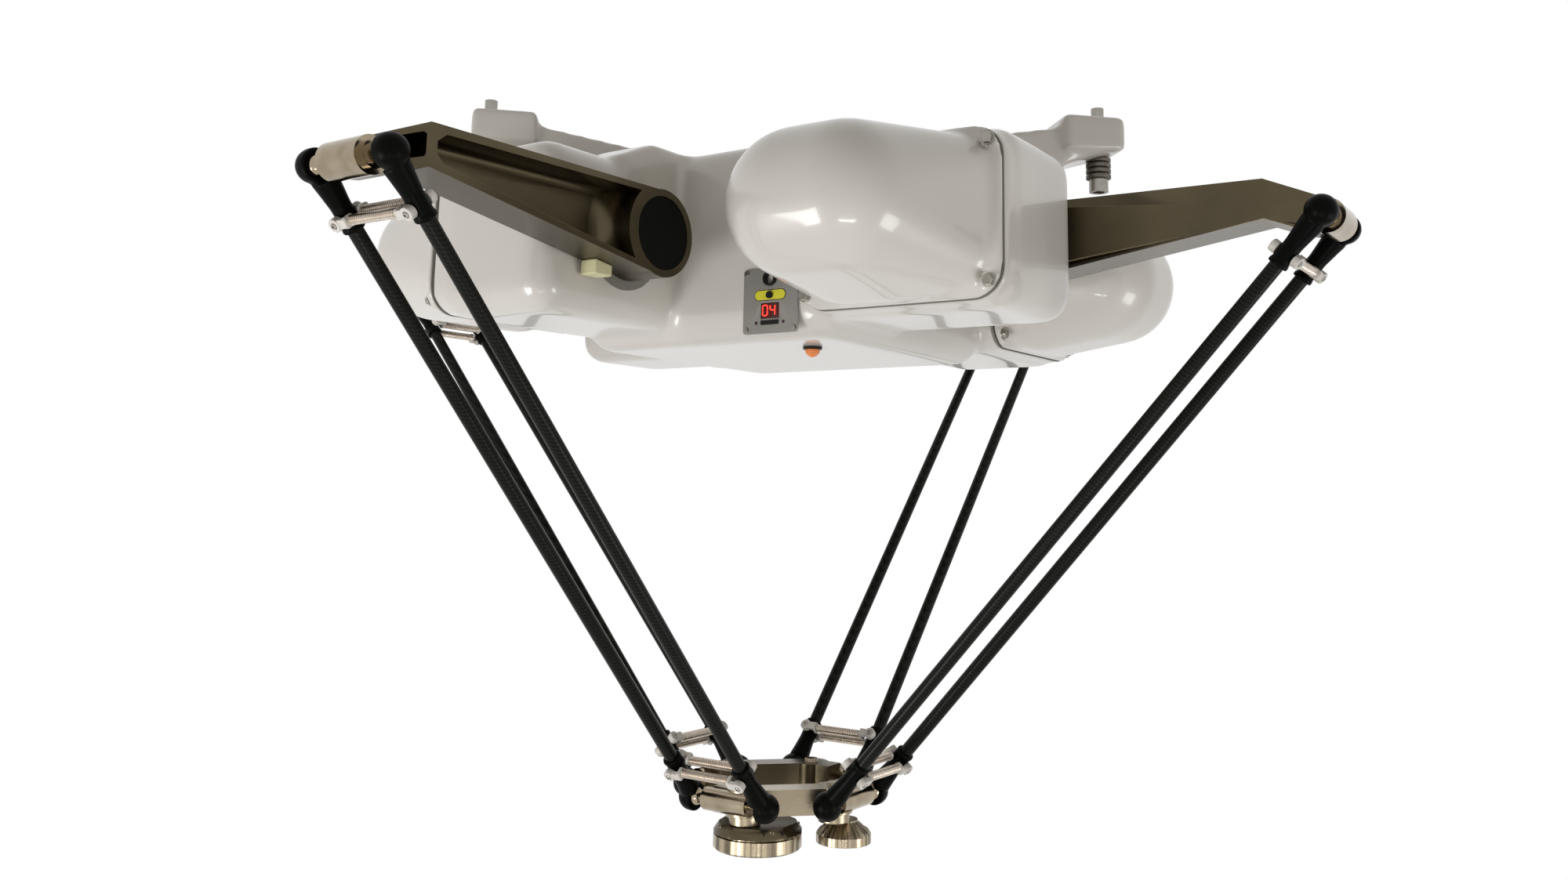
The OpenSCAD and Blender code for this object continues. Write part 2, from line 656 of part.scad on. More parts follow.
module tool_flange() {
    cone_top = flange_rim_h + flange_cone_h;
    ring_top = cone_top + flange_ring_h;
    color("#aca28e") translate([flange_at[0], flange_at[1], flange_bottom]) difference() {
        rotate_extrude($fn = 96) polygon([[0, 0], [flange_r, 0], [flange_r, flange_rim_h],
            [flange_ring_r, cone_top], [flange_ring_r, ring_top], [0, ring_top]]);
        translate([0, 0, -eps]) cylinder(r = 10, h = 8);
        for (i = [0:3]) rotate([0, 0, 45 + 90 * i]) translate([tool_pcd / 2, 0, -eps]) cylinder(r = 2.5, h = 10);
    }
}

base_casting();
top_lid();
motor_cover(0);  // motor_cover_1
motor_cover(1);  // motor_cover_2
motor_cover(2);  // motor_cover_3
motor_cover(3);  // motor_cover_4
cover_gaskets();
base_fasteners();
gear_units();
motors();
mount_bolts();
disc_springs();
status_panel();
display();
service_port();
lamp_bezel();
lamp_lens();
brake_button();
inner_arm(0);  // inner_arm_1
inner_arm(1);  // inner_arm_2
inner_arm(2);  // inner_arm_3
inner_arm(3);  // inner_arm_4
hub_cap(0);  // hub_cap_1
hub_cap(1);  // hub_cap_2
hub_cap(2);  // hub_cap_3
hub_cap(3);  // hub_cap_4
ball_bar(0);  // ball_bar_1
ball_bar(1);  // ball_bar_2
ball_bar(2);  // ball_bar_3
ball_bar(3);  // ball_bar_4
arm_bumper(0);  // arm_bumper_1
arm_bumper(1);  // arm_bumper_2
arm_bumper(2);  // arm_bumper_3
arm_bumper(3);  // arm_bumper_4
rod_tubes(0);  // rod_tubes_1
rod_tubes(1);  // rod_tubes_2
rod_tubes(2);  // rod_tubes_3
rod_tubes(3);  // rod_tubes_4
rod_ends(0);  // rod_ends_1
rod_ends(1);  // rod_ends_2
rod_ends(2);  // rod_ends_3
rod_ends(3);  // rod_ends_4
rod_springs(0);  // rod_springs_1
rod_springs(1);  // rod_springs_2
rod_springs(2);  // rod_springs_3
rod_springs(3);  // rod_springs_4
spring_links(0);  // spring_links_1
spring_links(1);  // spring_links_2
spring_links(2);  // spring_links_3
spring_links(3);  // spring_links_4
ball_studs(0);  // ball_studs_1
ball_studs(1);  // ball_studs_2
ball_studs(2);  // ball_studs_3
ball_studs(3);  // ball_studs_4
front_bar();
rear_bar();
side_links();
platform_ball_bars();
drive_disc();
tool_flange();
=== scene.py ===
"""Overhead parallel picking robot: paint, machined nickel, carbon rods, springs and a pale studio."""
import json
import math

import bmesh
import bpy
from bpy.props import FloatProperty, FloatVectorProperty, PointerProperty
from mathutils import Matrix, Vector

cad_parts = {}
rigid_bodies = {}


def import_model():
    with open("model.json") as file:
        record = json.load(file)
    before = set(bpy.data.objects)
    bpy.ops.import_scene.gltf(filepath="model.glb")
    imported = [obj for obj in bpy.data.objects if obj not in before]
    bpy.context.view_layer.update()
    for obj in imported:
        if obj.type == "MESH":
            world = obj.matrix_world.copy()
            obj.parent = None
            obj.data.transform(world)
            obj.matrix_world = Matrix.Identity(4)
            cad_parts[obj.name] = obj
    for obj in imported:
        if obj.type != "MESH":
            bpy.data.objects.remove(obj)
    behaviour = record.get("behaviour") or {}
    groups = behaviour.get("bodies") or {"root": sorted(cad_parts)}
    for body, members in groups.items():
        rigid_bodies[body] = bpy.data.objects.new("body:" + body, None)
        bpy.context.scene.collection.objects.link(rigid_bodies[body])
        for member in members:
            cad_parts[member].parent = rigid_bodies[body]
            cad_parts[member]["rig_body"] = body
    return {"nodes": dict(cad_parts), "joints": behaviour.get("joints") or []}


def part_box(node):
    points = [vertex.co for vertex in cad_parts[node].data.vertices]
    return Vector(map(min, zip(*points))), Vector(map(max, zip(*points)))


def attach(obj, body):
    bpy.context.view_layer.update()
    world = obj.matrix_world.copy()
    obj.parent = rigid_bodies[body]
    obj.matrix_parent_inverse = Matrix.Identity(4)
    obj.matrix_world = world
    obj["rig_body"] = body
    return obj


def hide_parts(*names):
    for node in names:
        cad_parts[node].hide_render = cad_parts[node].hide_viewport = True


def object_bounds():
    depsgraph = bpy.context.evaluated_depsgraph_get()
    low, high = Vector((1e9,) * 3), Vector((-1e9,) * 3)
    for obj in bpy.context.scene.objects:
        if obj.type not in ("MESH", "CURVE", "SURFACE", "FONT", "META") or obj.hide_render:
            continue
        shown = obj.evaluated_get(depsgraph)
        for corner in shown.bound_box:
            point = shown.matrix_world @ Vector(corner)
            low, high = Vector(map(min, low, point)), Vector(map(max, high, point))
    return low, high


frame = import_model()
CAD_LOW, CAD_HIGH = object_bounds()

bl_info = {
    "name": "Parallel Picking Robot",
    "version": (1, 0, 0),
    "blender": (4, 5, 0),
    "location": "View3D > Sidebar > Robot",
    "description": "Dresses a packed delta robot and sets up its studio",
    "category": "Object",
}

ARMS = (1, 2, 3, 4)
JOINTS = {joint["name"]: joint for joint in frame["joints"]}
MM = 0.001


# ---------- settings ----------
class RobotFinish(bpy.types.PropertyGroup):
    """Colours of the robot's finishes"""

    paint: FloatVectorProperty(name="Paint", description="Gloss off-white paint", subtype="COLOR",
                               default=(0.66, 0.63, 0.585), min=0, max=1)
    nickel: FloatVectorProperty(name="Arm nickel", description="Warm satin nickel of the arms",
                                subtype="COLOR", default=(0.092, 0.074, 0.045), min=0, max=1)
    bright_nickel: FloatVectorProperty(name="Platform nickel", description="Brighter turned nickel",
                                       subtype="COLOR", default=(0.32, 0.265, 0.185), min=0, max=1)
    steel: FloatVectorProperty(name="Steel", description="Plain and stainless steel", subtype="COLOR",
                               default=(0.36, 0.34, 0.30), min=0, max=1)
    moulded: FloatVectorProperty(name="Rod ends", description="Black moulded rod ends", subtype="COLOR",
                                 default=(0.0014, 0.0015, 0.0012), min=0, max=1)
    nylon: FloatVectorProperty(name="Nylon", description="White spring links", subtype="COLOR",
                               default=(0.72, 0.69, 0.64), min=0, max=1)
    cream: FloatVectorProperty(name="Bumpers", description="Cream bumper blocks", subtype="COLOR",
                               default=(0.72, 0.69, 0.42), min=0, max=1)
    display: FloatVectorProperty(name="Display", description="Lit segments", subtype="COLOR",
                                 default=(1.0, 0.05, 0.03), min=0, max=1)


class RobotSizes(bpy.types.PropertyGroup):
    """Sizes of the fine detail"""

    rod_length: FloatProperty(name="Rod", description="Ball to ball along a rod", default=825 * MM,
                              min=0.5, max=1.2, subtype="DISTANCE")
    ball_span: FloatProperty(name="Ball span", description="Between the rods of a pair", default=96 * MM,
                             min=0.05, max=0.2, subtype="DISTANCE")
    platform_radius: FloatProperty(name="Platform", description="Robot axis to the lower balls' line",
                                   default=100 * MM, min=0.05, max=0.2, subtype="DISTANCE")
    spring_at: FloatProperty(name="Spring place", description="Ball centre to the spring pivots",
                             default=52 * MM, min=0.03, max=0.1, subtype="DISTANCE")
    spring_off: FloatProperty(name="Spring offset", description="Rod's middle to a spring's middle",
                              default=8.6 * MM, min=0.006, max=0.03, subtype="DISTANCE")
    spring: FloatProperty(name="Spring radius", description="Outer radius of a spring", default=5.2 * MM,
                          min=0.002, max=0.01, subtype="DISTANCE")
    wire: FloatProperty(name="Wire", description="Radius of the spring wire", default=1.1 * MM,
                        min=0.0003, max=0.002, subtype="DISTANCE")
    ball: FloatProperty(name="Ball radius", description="Radius of the joint balls", default=10.5 * MM,
                        min=0.005, max=0.02, subtype="DISTANCE")
    socket: FloatProperty(name="Socket", description="Radius of a socket's dome", default=16 * MM,
                          min=0.012, max=0.025, subtype="DISTANCE")
    neck: FloatProperty(name="Neck", description="Radius of a rod end's neck", default=9.5 * MM,
                        min=0.008, max=0.02, subtype="DISTANCE")
    end_length: FloatProperty(name="Rod end", description="Ball centre to the end's collar",
                              default=66 * MM, min=0.04, max=0.1, subtype="DISTANCE")
    pad: FloatVectorProperty(name="Pad place", description="Pad's centre along and across an arm", size=2,
                             default=(200 * MM, 312 * MM), subtype="XYZ")
    pad_side: FloatProperty(name="Pad side", description="Side of a mounting pad", default=82 * MM,
                            min=0.05, max=0.15, subtype="DISTANCE")
    pad_thick: FloatProperty(name="Pad thickness", description="Thickness of a pad", default=45 * MM,
                             min=0.02, max=0.08, subtype="DISTANCE")
    gasket: FloatProperty(name="Gasket", description="Thickness of a cover's gasket", default=1.5 * MM,
                          min=0.0005, max=0.004, subtype="DISTANCE")
    cover_flange: FloatProperty(name="Cover flange", description="Thickness of a cover's flange",
                                default=9 * MM, min=0.004, max=0.02, subtype="DISTANCE")
    casting_grain: FloatProperty(name="Casting grain", description="Mesh size of the casting",
                                 default=4.2 * MM, min=0.002, max=0.01, subtype="DISTANCE")
    cover_grain: FloatProperty(name="Cover grain", description="Mesh size of the covers", default=3 * MM,
                               min=0.002, max=0.01, subtype="DISTANCE")
    end_grain: FloatProperty(name="Rod end grain", description="Mesh size of the rod ends",
                             default=1.1 * MM, min=0.0005, max=0.004, subtype="DISTANCE")


class StudioSettings(bpy.types.PropertyGroup):
    """Camera, lamps and backdrop"""

    eye: FloatVectorProperty(name="Eye", description="Camera position", subtype="TRANSLATION",
                             default=(1.3094, 0.9190, -0.4744))
    heading: FloatProperty(name="Heading", description="Direction of view from +X", subtype="ANGLE",
                           default=math.radians(-146.036))
    rise: FloatProperty(name="Rise", description="Upward tilt of the view", subtype="ANGLE",
                        default=math.radians(9.488))
    roll: FloatProperty(name="Roll", description="Turn of the camera about its view", subtype="ANGLE",
                        default=math.radians(0.967))
    lens: FloatProperty(name="Lens", description="Focal length in millimetres", default=29.57, min=10,
                        max=200)
    shift: FloatVectorProperty(name="Shift", description="Lens shift that frames the robot", size=2,
                               default=(-0.0194, -0.1025))
    ambient: FloatProperty(name="Ambient", description="Strength of the even light", default=0.35,
                           min=0, max=2)


def finish():
    """Colours that the user can change"""
    return bpy.context.scene.robot_finish


def sizes():
    """Sizes that the user can change"""
    return bpy.context.scene.robot_sizes


def studio():
    """Settings of the camera, lamps and backdrop"""
    return bpy.context.scene.robot_studio


# ---------- shader maths ----------
class Term:
    """A socket that Python expressions can add to, subtract from a number and multiply"""

    def __init__(self, shader, socket):
        self.shader = shader
        self.socket = socket

    def _math(self, operation, first, second):
        return self.shader.node("ShaderNodeMath", {"operation": operation}, first, second)

    def __add__(self, other):
        return self._math("ADD", self, other)

    def __radd__(self, other):
        return self._math("ADD", other, self)

    def __rsub__(self, other):
        return self._math("SUBTRACT", other, self)

    def __mul__(self, other):
        return self._math("MULTIPLY", self, other)

    def __rmul__(self, other):
        return self._math("MULTIPLY", other, self)


class Shader:
    """A material under construction"""

    MIX_INPUTS = (0, 6, 7)        # a Mix node's factor and its two colours
    MIX_COLOUR = 2                # and the output that holds their mixture

    def __init__(self, name, slot):
        self.material = bpy.data.materials.new(name)
        self.material.use_nodes = True
        self.tree = self.material.node_tree
        self.tree.nodes.clear()
        self.slot = slot
        self.surface = self.tree.nodes.new("ShaderNodeBsdfPrincipled")
        output = self.tree.nodes.new("ShaderNodeOutputMaterial")
        self.tree.links.new(self.surface.outputs["BSDF"], output.inputs["Surface"])
        self.place = self.node("ShaderNodeTexCoord", {}, out="Object")

    def node(self, kind, settings, *values, out=0, **named):
        """Adds a node: settings first, then values or links for its sockets; returns one output"""
        made = self.tree.nodes.new(kind)
        for key, value in settings.items():
            setattr(made, key, value)
        for index, value in enumerate(values):
            self.put(made.inputs[index], value)
        for key, value in named.items():
            self.put(made.inputs[key.replace("_", " ")], value)
        return Term(self, made.outputs[out])

    def put(self, socket, value):
        """Links a term to a socket, or sets the socket to a number, a vector or a colour"""
        if isinstance(value, Term):
            self.tree.links.new(value.socket, socket)
        elif socket.type == "RGBA":
            socket.default_value = (*value, 1)
        else:
            socket.default_value = value

    def set(self, **named):
        """Sets or links sockets of the surface"""
        for key, value in named.items():
            self.put(self.surface.inputs[key.replace("_", " ")], value)

    def noise(self, scale, detail, stretch=(1, 1, 1)):
        """Cloud noise in object coordinates; a stretch above 1 makes it finer along that axis"""
        spot = self.node("ShaderNodeMapping", {}, Vector=self.place, Scale=stretch)
        return self.node("ShaderNodeTexNoise", {}, Vector=spot, Scale=scale, Detail=detail)

    def bands(self, factor, low, high):
        """0 below low and 1 above high, straight in between"""
        made = self.tree.nodes.new("ShaderNodeValToRGB")
        for element, position, grey in zip(made.color_ramp.elements, (low, high), (0, 1)):
            element.position = position
            element.color = (grey, grey, grey, 1)
        self.put(made.inputs[0], factor)
        return Term(self, made.outputs[0])

    def mix(self, factor, first, second):
        """Colour between two colours"""
        made = self.tree.nodes.new("ShaderNodeMix")
        made.data_type = "RGBA"
        for index, value in zip(self.MIX_INPUTS, (factor, first, second)):
            self.put(made.inputs[index], value)
        return Term(self, made.outputs[self.MIX_COLOUR])

    def bump(self, height, strength, distance):
        """Relief from a height; distance in metres"""
        normal = self.node("ShaderNodeBump", {}, Strength=strength, Distance=distance, Height=height)
        self.set(Normal=normal)


def tinted(colour, factor):
    """A colour made darker or lighter"""
    return tuple(min(1.0, channel * factor) for channel in colour[:3])


MATERIALS = {}


def material(name, make, slot):
    """A finish for one slot, made at its first use"""
    key = (name, slot)
    if key not in MATERIALS:
        shader = Shader(f"{name}_{slot}", slot)
        make(shader)
        MATERIALS[key] = shader
    return MATERIALS[key]


def paint_look(shader):
    """Gloss paint over a cast surface: faint cloudiness, soft ripple and a clear coat"""
    colour = finish().paint
    cloud = shader.noise(5.0, 2.0)
    ripple = shader.noise(60.0, 2.0)
    peel = shader.noise(420.0, 1.0)
    shader.set(Base_Color=shader.mix(cloud, tinted(colour, 0.97), tinted(colour, 1.02)),
               Roughness=0.28 + 0.08 * cloud, Coat_Weight=0.55, Coat_Roughness=0.06)
    shader.bump(ripple * 0.6 + peel * 0.12, 0.07, 0.001)


def nickel_look(shader):
    """Machined arm in warm nickel: long cutter lines, mottled roughness, and darker and lighter patches in
    its colour that are painted reflections
    """
    colour = finish().nickel
    patch = shader.noise(9.0, 4.0)
    lines = shader.noise(150.0, 2.0, stretch=(1, 1, 14))
    # painted reflection: large patches halve the nickel's colour or raise it by half, in place of the dark
    # and light faces that its reflections give
    shader.set(Base_Color=shader.mix(patch, tinted(colour, 0.5), tinted(colour, 1.5)), Metallic=1.0,
               Roughness=0.22 + 0.10 * patch + 0.08 * lines)
    shader.bump(lines, 0.06, 0.0006)


def bright_look(shader):
    """Milled nickel of the platform's bars"""
    colour = finish().bright_nickel
    patch = shader.noise(14.0, 2.0)
    lines = shader.noise(240.0, 2.0, stretch=(1, 1, 9))
    shader.set(Base_Color=shader.mix(patch, tinted(colour, 0.7), tinted(colour, 1.15)), Metallic=1.0,
               Roughness=0.22 + 0.14 * lines)
    shader.bump(lines, 0.08, 0.0004)


def turned_look(shader, joint):
    """Turned nickel with painted reflections: light and dark streaks in its colour run out from a joint's
    axis and down the walls, in place of the reflections of its radial machining
    """
    colour = finish().bright_nickel
    x, y, _ = JOINTS[joint]["pos_m"]
    spot = shader.node("ShaderNodeMapping", {}, Vector=shader.place, Location=(-x, -y, 0))
    angle = shader.node("ShaderNodeTexGradient", {"gradient_type": "RADIAL"}, Vector=spot, out="Fac")
    reflection_streak = shader.node("ShaderNodeTexNoise", {"noise_dimensions": "1D"}, W=angle, Scale=34.0, Detail=3.0)
    lines = shader.noise(240.0, 2.0, stretch=(1, 1, 9))
    # painted reflection: the streaks make the nickel's colour darker or lighter round the axis, where a
    # turned surface would reflect light and dark
    reflection_tone = shader.mix(shader.bands(reflection_streak, 0.4, 0.6), tinted(colour, 0.4), tinted(colour, 1.35))
    shader.set(Base_Color=reflection_tone, Metallic=1.0, Roughness=0.22 + 0.14 * lines)
    shader.bump(lines, 0.08, 0.0004)


def disc_look(shader):
    """Turned nickel about the drive disc's axis, with painted reflection streaks"""
    turned_look(shader, "platform_twist")


def flange_look(shader):
    """Turned nickel about the tool flange's axis, with painted reflection streaks"""
    turned_look(shader, "tool_turn")


def bar_look(shader):
    """Ground ball bars and polished balls"""
    cloud = shader.noise(50.0, 2.0)
    shader.set(Base_Color=shader.mix(cloud, (0.22, 0.175, 0.115), (0.46, 0.39, 0.29)), Metallic=1.0,
               Roughness=0.12 + 0.10 * cloud)


def steel_look(shader):
    """Plain fastener steel with a little tarnish"""
    colour = finish().steel
    patch = shader.noise(180.0, 3.0)
    shader.set(Base_Color=shader.mix(patch, tinted(colour, 0.62), tinted(colour, 1.1)), Metallic=1.0,
               Roughness=0.24 + 0.2 * patch)


def spring_look(shader):
    """Drawn spring wire"""
    patch = shader.noise(90.0, 2.0)
    shader.set(Base_Color=shader.mix(patch, (0.40, 0.34, 0.28), (0.60, 0.53, 0.45)), Metallic=1.0,
               Roughness=0.22 + 0.1 * patch)


def dark_steel_look(shader):
    """Phosphated disc springs, worn bright in places"""
    patch = shader.noise(140.0, 4.0)
    shader.set(Base_Color=shader.mix(patch, (0.06, 0.055, 0.045), (0.22, 0.20, 0.17)), Metallic=1.0,
               Roughness=0.35 + 0.2 * patch)


def carbon_look(shader):
    """Lacquered carbon tube: a twill whose rows run round the tube on a slant"""
    spot = shader.node("ShaderNodeMapping", {}, Vector=shader.place, Rotation=(0.5, 0.5, 0.6))
    rows = shader.node("ShaderNodeTexWave", {"wave_type": "BANDS", "bands_direction": "DIAGONAL"},
                       Vector=spot, Scale=95.0, Distortion=1.2, Detail=1.0)
    cross = shader.noise(260.0, 2.0)
    weave = rows * 0.75 + cross * 0.25
    shader.set(Base_Color=shader.mix(weave, (0.002, 0.002, 0.0015), (0.015, 0.015, 0.012)),
               Roughness=0.34 - 0.1 * weave, Specular_IOR_Level=0.08)
    shader.bump(weave, 0.05, 0.0004)


def moulded_look(shader):
    """Black moulded rod ends"""
    colour = finish().moulded
    grain = shader.noise(700.0, 2.0)
    cloud = shader.noise(30.0, 2.0)
    shader.set(Base_Color=shader.mix(cloud, tinted(colour, 0.8), tinted(colour, 1.6)),
               Roughness=0.30 + 0.12 * cloud, Specular_IOR_Level=0.04)
    shader.bump(grain, 0.06, 0.0003)


def nylon_look(shader):
    """White nylon links, a little soiled"""
    colour = finish().nylon
    cloud = shader.noise(120.0, 3.0)
    shader.set(Base_Color=shader.mix(cloud, tinted(colour, 0.8), colour), Roughness=0.38)
    shader.bump(cloud, 0.05, 0.0003)


def cream_look(shader):
    """Cast cream bumper blocks"""
    colour = finish().cream
    cloud = shader.noise(60.0, 3.0)
    shader.set(Base_Color=shader.mix(cloud, tinted(colour, 0.86), tinted(colour, 1.05)), Roughness=0.5)
    shader.bump(cloud, 0.08, 0.0005)


def cap_look(shader):
    """Matt black hub caps"""
    grain = shader.noise(900.0, 2.0)
    shader.set(Base_Color=shader.mix(grain, (0.003, 0.0035, 0.003), (0.007, 0.0075, 0.006)),
               Roughness=0.6, Specular_IOR_Level=0.04)
    shader.bump(grain, 0.05, 0.0002)


def black_look(shader):
    """Small black plastic parts"""
    grain = shader.noise(400.0, 2.0)
    shader.set(Base_Color=shader.mix(grain, (0.006, 0.006, 0.006), (0.014, 0.014, 0.014)),
               Roughness=0.4, Specular_IOR_Level=0.2)


def panel_look(shader):
    """Satin anodised panel with a fine horizontal grain"""
    grain = shader.noise(300.0, 2.0, stretch=(1, 1, 12))
    shader.set(Base_Color=shader.mix(grain, (0.27, 0.26, 0.24), (0.34, 0.33, 0.305)), Metallic=0.5,
               Roughness=0.42)


def lid_look(shader):
    """Dark grey lid and seals"""
    grain = shader.noise(300.0, 2.0)
    shader.set(Base_Color=shader.mix(grain, (0.035, 0.032, 0.027), (0.06, 0.055, 0.047)),
               Roughness=0.6, Specular_IOR_Level=0.2)
    shader.bump(grain, 0.1, 0.0003)


def gasket_look(shader):
    """Grey-brown seal under a cover's flange"""
    grain = shader.noise(300.0, 2.0)
    shader.set(Base_Color=shader.mix(grain, (0.20, 0.19, 0.17), (0.26, 0.25, 0.225)),
               Roughness=0.6, Specular_IOR_Level=0.2)


def lens_look(shader):
    """Amber lamp lens"""
    ribs = shader.noise(200.0, 1.0)
    shader.set(Base_Color=shader.mix(ribs, (0.78, 0.16, 0.01), (0.95, 0.30, 0.03)), Roughness=0.12,
               Coat_Weight=0.5, Coat_Roughness=0.05)


def window_look(shader):
    """Dark red display window"""
    grain = shader.noise(200.0, 1.0)
    shader.set(Base_Color=shader.mix(grain, (0.045, 0.004, 0.004), (0.06, 0.006, 0.005)), Roughness=0.2)


NODE_LOOKS = {
    "base_casting": ("paint", paint_look, "white_paint"),
    "motor_cover": ("paint", paint_look, "white_paint"),
    "top_lid": ("lid", lid_look, "lid_grey"),
    "cover_gaskets": ("gasket", gasket_look, "gasket_rubber"),
    "base_fasteners": ("steel", steel_look, "stainless"),
    "gear_units": ("seal", lid_look, "gear_steel"),
    "motors": ("black", black_look, "motor_black"),
    "mount_bolts": ("steel", steel_look, "bolt_steel"),
    "disc_springs": ("dark_steel", dark_steel_look, "spring_disc_steel"),
    "status_panel": ("panel", panel_look, "panel_grey"),
    "display": ("window", window_look, "display_red"),
    "service_port": ("black", black_look, "black_plastic"),
    "lamp_bezel": ("black", black_look, "black_plastic"),
    "brake_button": ("black", black_look, "black_plastic"),
    "lamp_lens": ("lens", lens_look, "amber_lens"),
    "inner_arm": ("nickel", nickel_look, "nickel_bronze"),
    "hub_cap": ("cap", cap_look, "cap_black"),
    "ball_bar": ("bar", bar_look, "bar_nickel"),
    "arm_bumper": ("cream", cream_look, "cream_nylon"),
    "rod_tubes": ("carbon", carbon_look, "carbon"),
    "rod_ends": ("moulded", moulded_look, "moulded_black"),
    "rod_springs": ("spring", spring_look, "spring_wire"),
    "spring_links": ("nylon", nylon_look, "white_nylon"),
    "ball_studs": ("bar", bar_look, "ball_chrome"),
    "front_bar": ("bright", bright_look, "platform_nickel"),
    "rear_bar": ("nickel", nickel_look, "platform_nickel"),
    "side_links": ("bright", bright_look, "platform_nickel"),
    "platform_ball_bars": ("bar", bar_look, "platform_nickel"),
    "drive_disc": ("disc", disc_look, "platform_nickel"),
    "tool_flange": ("flange", flange_look, "platform_nickel"),
}


def family(node):
    """A node's name without the number of its arm"""
    return node[:-2] if node[-2:] in ("_1", "_2", "_3", "_4") else node


def look_of(node):
    """The finish of a CAD node"""
    return material(*NODE_LOOKS[family(node)])


def body_of(node):
    """The moving body that carries a CAD node"""
    return frame["nodes"][node]["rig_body"]


# ---------- mesh helpers ----------
DOUBLES = 0.01 * MM           # points closer than this are one
FLAT = math.radians(0.6)      # faces that meet at less than this are one
SHARP = math.radians(32)      # edges above this are broken
ALIGNED = 0.99                # cosine above which an edge counts as lying along an axis
ROUND_STEPS = 7               # facets across a rounded edge
PLAIN_SMOOTH = 40             # degrees: sharper edges stay sharp on made shapes
EASED_SMOOTH = 20             # and on shapes with broken edges


def new_piece(name, shape, look, body, replaced=(), smooth=PLAIN_SMOOTH):
    """Turns a bmesh into a finished piece on its body; edges above the smooth angle stay sharp"""
    bmesh.ops.recalc_face_normals(shape, faces=shape.faces)
    mesh = bpy.data.meshes.new(name)
    shape.to_mesh(mesh)
    shape.free()
    piece = bpy.data.objects.new(name, mesh)
    bpy.context.scene.collection.objects.link(piece)
    for polygon in mesh.polygons:
        polygon.use_smooth = True
    mesh.set_sharp_from_angle(angle=math.radians(smooth))
    mesh.materials.clear()
    mesh.materials.append(look.material)
    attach(piece, body)
    if replaced:
        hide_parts(*replaced)


def eased_copy(node, width):
    """A CAD node's mesh with its doubles merged, flat faces joined and sharp edges broken"""
    source = frame["nodes"][node].data
    shape = bmesh.new()
    shape.from_mesh(source)
    bmesh.ops.remove_doubles(shape, verts=shape.verts, dist=DOUBLES)
    bmesh.ops.dissolve_limit(shape, angle_limit=FLAT, verts=shape.verts, edges=shape.edges,
                             use_dissolve_boundaries=False)
    edges = [edge for edge in shape.edges if edge.is_manifold and edge.calc_face_angle(0) > SHARP]
    bmesh.ops.bevel(shape, geom=edges, offset=width, offset_type="OFFSET", segments=2, profile=0.5,
                    affect="EDGES", clamp_overlap=True, material=-1)
    return shape


def absorb(shape, other):
    """Copies a bmesh into another and frees it"""
    mesh = bpy.data.meshes.new("absorbed")
    other.to_mesh(mesh)
    other.free()
    shape.from_mesh(mesh)
    bpy.data.meshes.remove(mesh)


def slice_off(shape, spot, normal):
    """Cuts away what lies past a plane and closes the cut"""
    cut = bmesh.ops.bisect_plane(shape, geom=shape.verts[:] + shape.edges[:] + shape.faces[:], plane_co=spot,
                                 plane_no=Vector(normal).normalized(), clear_outer=True)
    rim = [item for item in cut["geom_cut"] if isinstance(item, bmesh.types.BMEdge)]
    bmesh.ops.edgeloop_fill(shape, edges=rim)


def in_mm(profile):
    """Metres from a profile given in millimetres"""
    return [(radius * MM, height * MM) for radius, height in profile]


# ---------- places ----------
SHOULDER = Vector(JOINTS["arm_1_swing"]["pos_m"])
ELBOW = JOINTS["elbow_1"]["pos_m"][0] - SHOULDER.x
ALONG_Y = Matrix.Rotation(-math.pi / 2, 4, "X")
PAD_ARMS = (0, 2, 3)
SIDES = (-1, 1)


def shift(x, y, z):
    """A move without a turn"""
    return Matrix.Translation((x, y, z))


def arm_place(k):
    """Origin on a shoulder axis, X outwards, Y towards the arm's cap"""
    return Matrix.Rotation(k * math.pi / 2, 4, "Z") @ Matrix.Translation(SHOULDER)


def rod_place(k, side):
    """Origin at an elbow ball, Z up along the rod"""
    values = sizes()
    run = SHOULDER.x + ELBOW - values.platform_radius
    tilt = math.asin(run / values.rod_length)
    return arm_place(k) @ shift(ELBOW, side * values.ball_span / 2, 0) @ Matrix.Rotation(tilt, 4, "Y")


def pad_place(k):
    """Origin on a mounting pad's top, X outwards along its diagonal"""
    values = sizes()
    return (Matrix.Rotation(k * math.pi / 2, 4, "Z") @ shift(values.pad[0], -values.pad[1], 0)
            @ Matrix.Rotation(-math.pi / 4, 4, "Z"))


def panel_place():
    """Origin on the body's wall at the panel's centre, X along the wall, Y up, Z out"""
    low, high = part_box("status_panel")
    turn = Matrix(((0, 0, 1, 0), (1, 0, 0, 0), (0, 1, 0, 0), (0, 0, 0, 1)))
    return shift(low.x, (low.y + high.y) / 2, (low.z + high.z) / 2) @ turn


# ---------- solid shapes ----------
def add_cone(shape, low, high, radius, top=None, place=Matrix(), segments=32):
    """Cone or cylinder along Z"""
    middle = place @ shift(0, 0, (low + high) / 2)
    bmesh.ops.create_cone(shape, cap_ends=True, segments=segments, radius1=radius,
                          radius2=radius if top is None else top, depth=high - low, matrix=middle)


def add_ball(shape, radius, place, rings):
    """Ball with its poles on Z"""
    bmesh.ops.create_uvsphere(shape, u_segments=2 * rings, v_segments=rings, radius=radius, matrix=place)


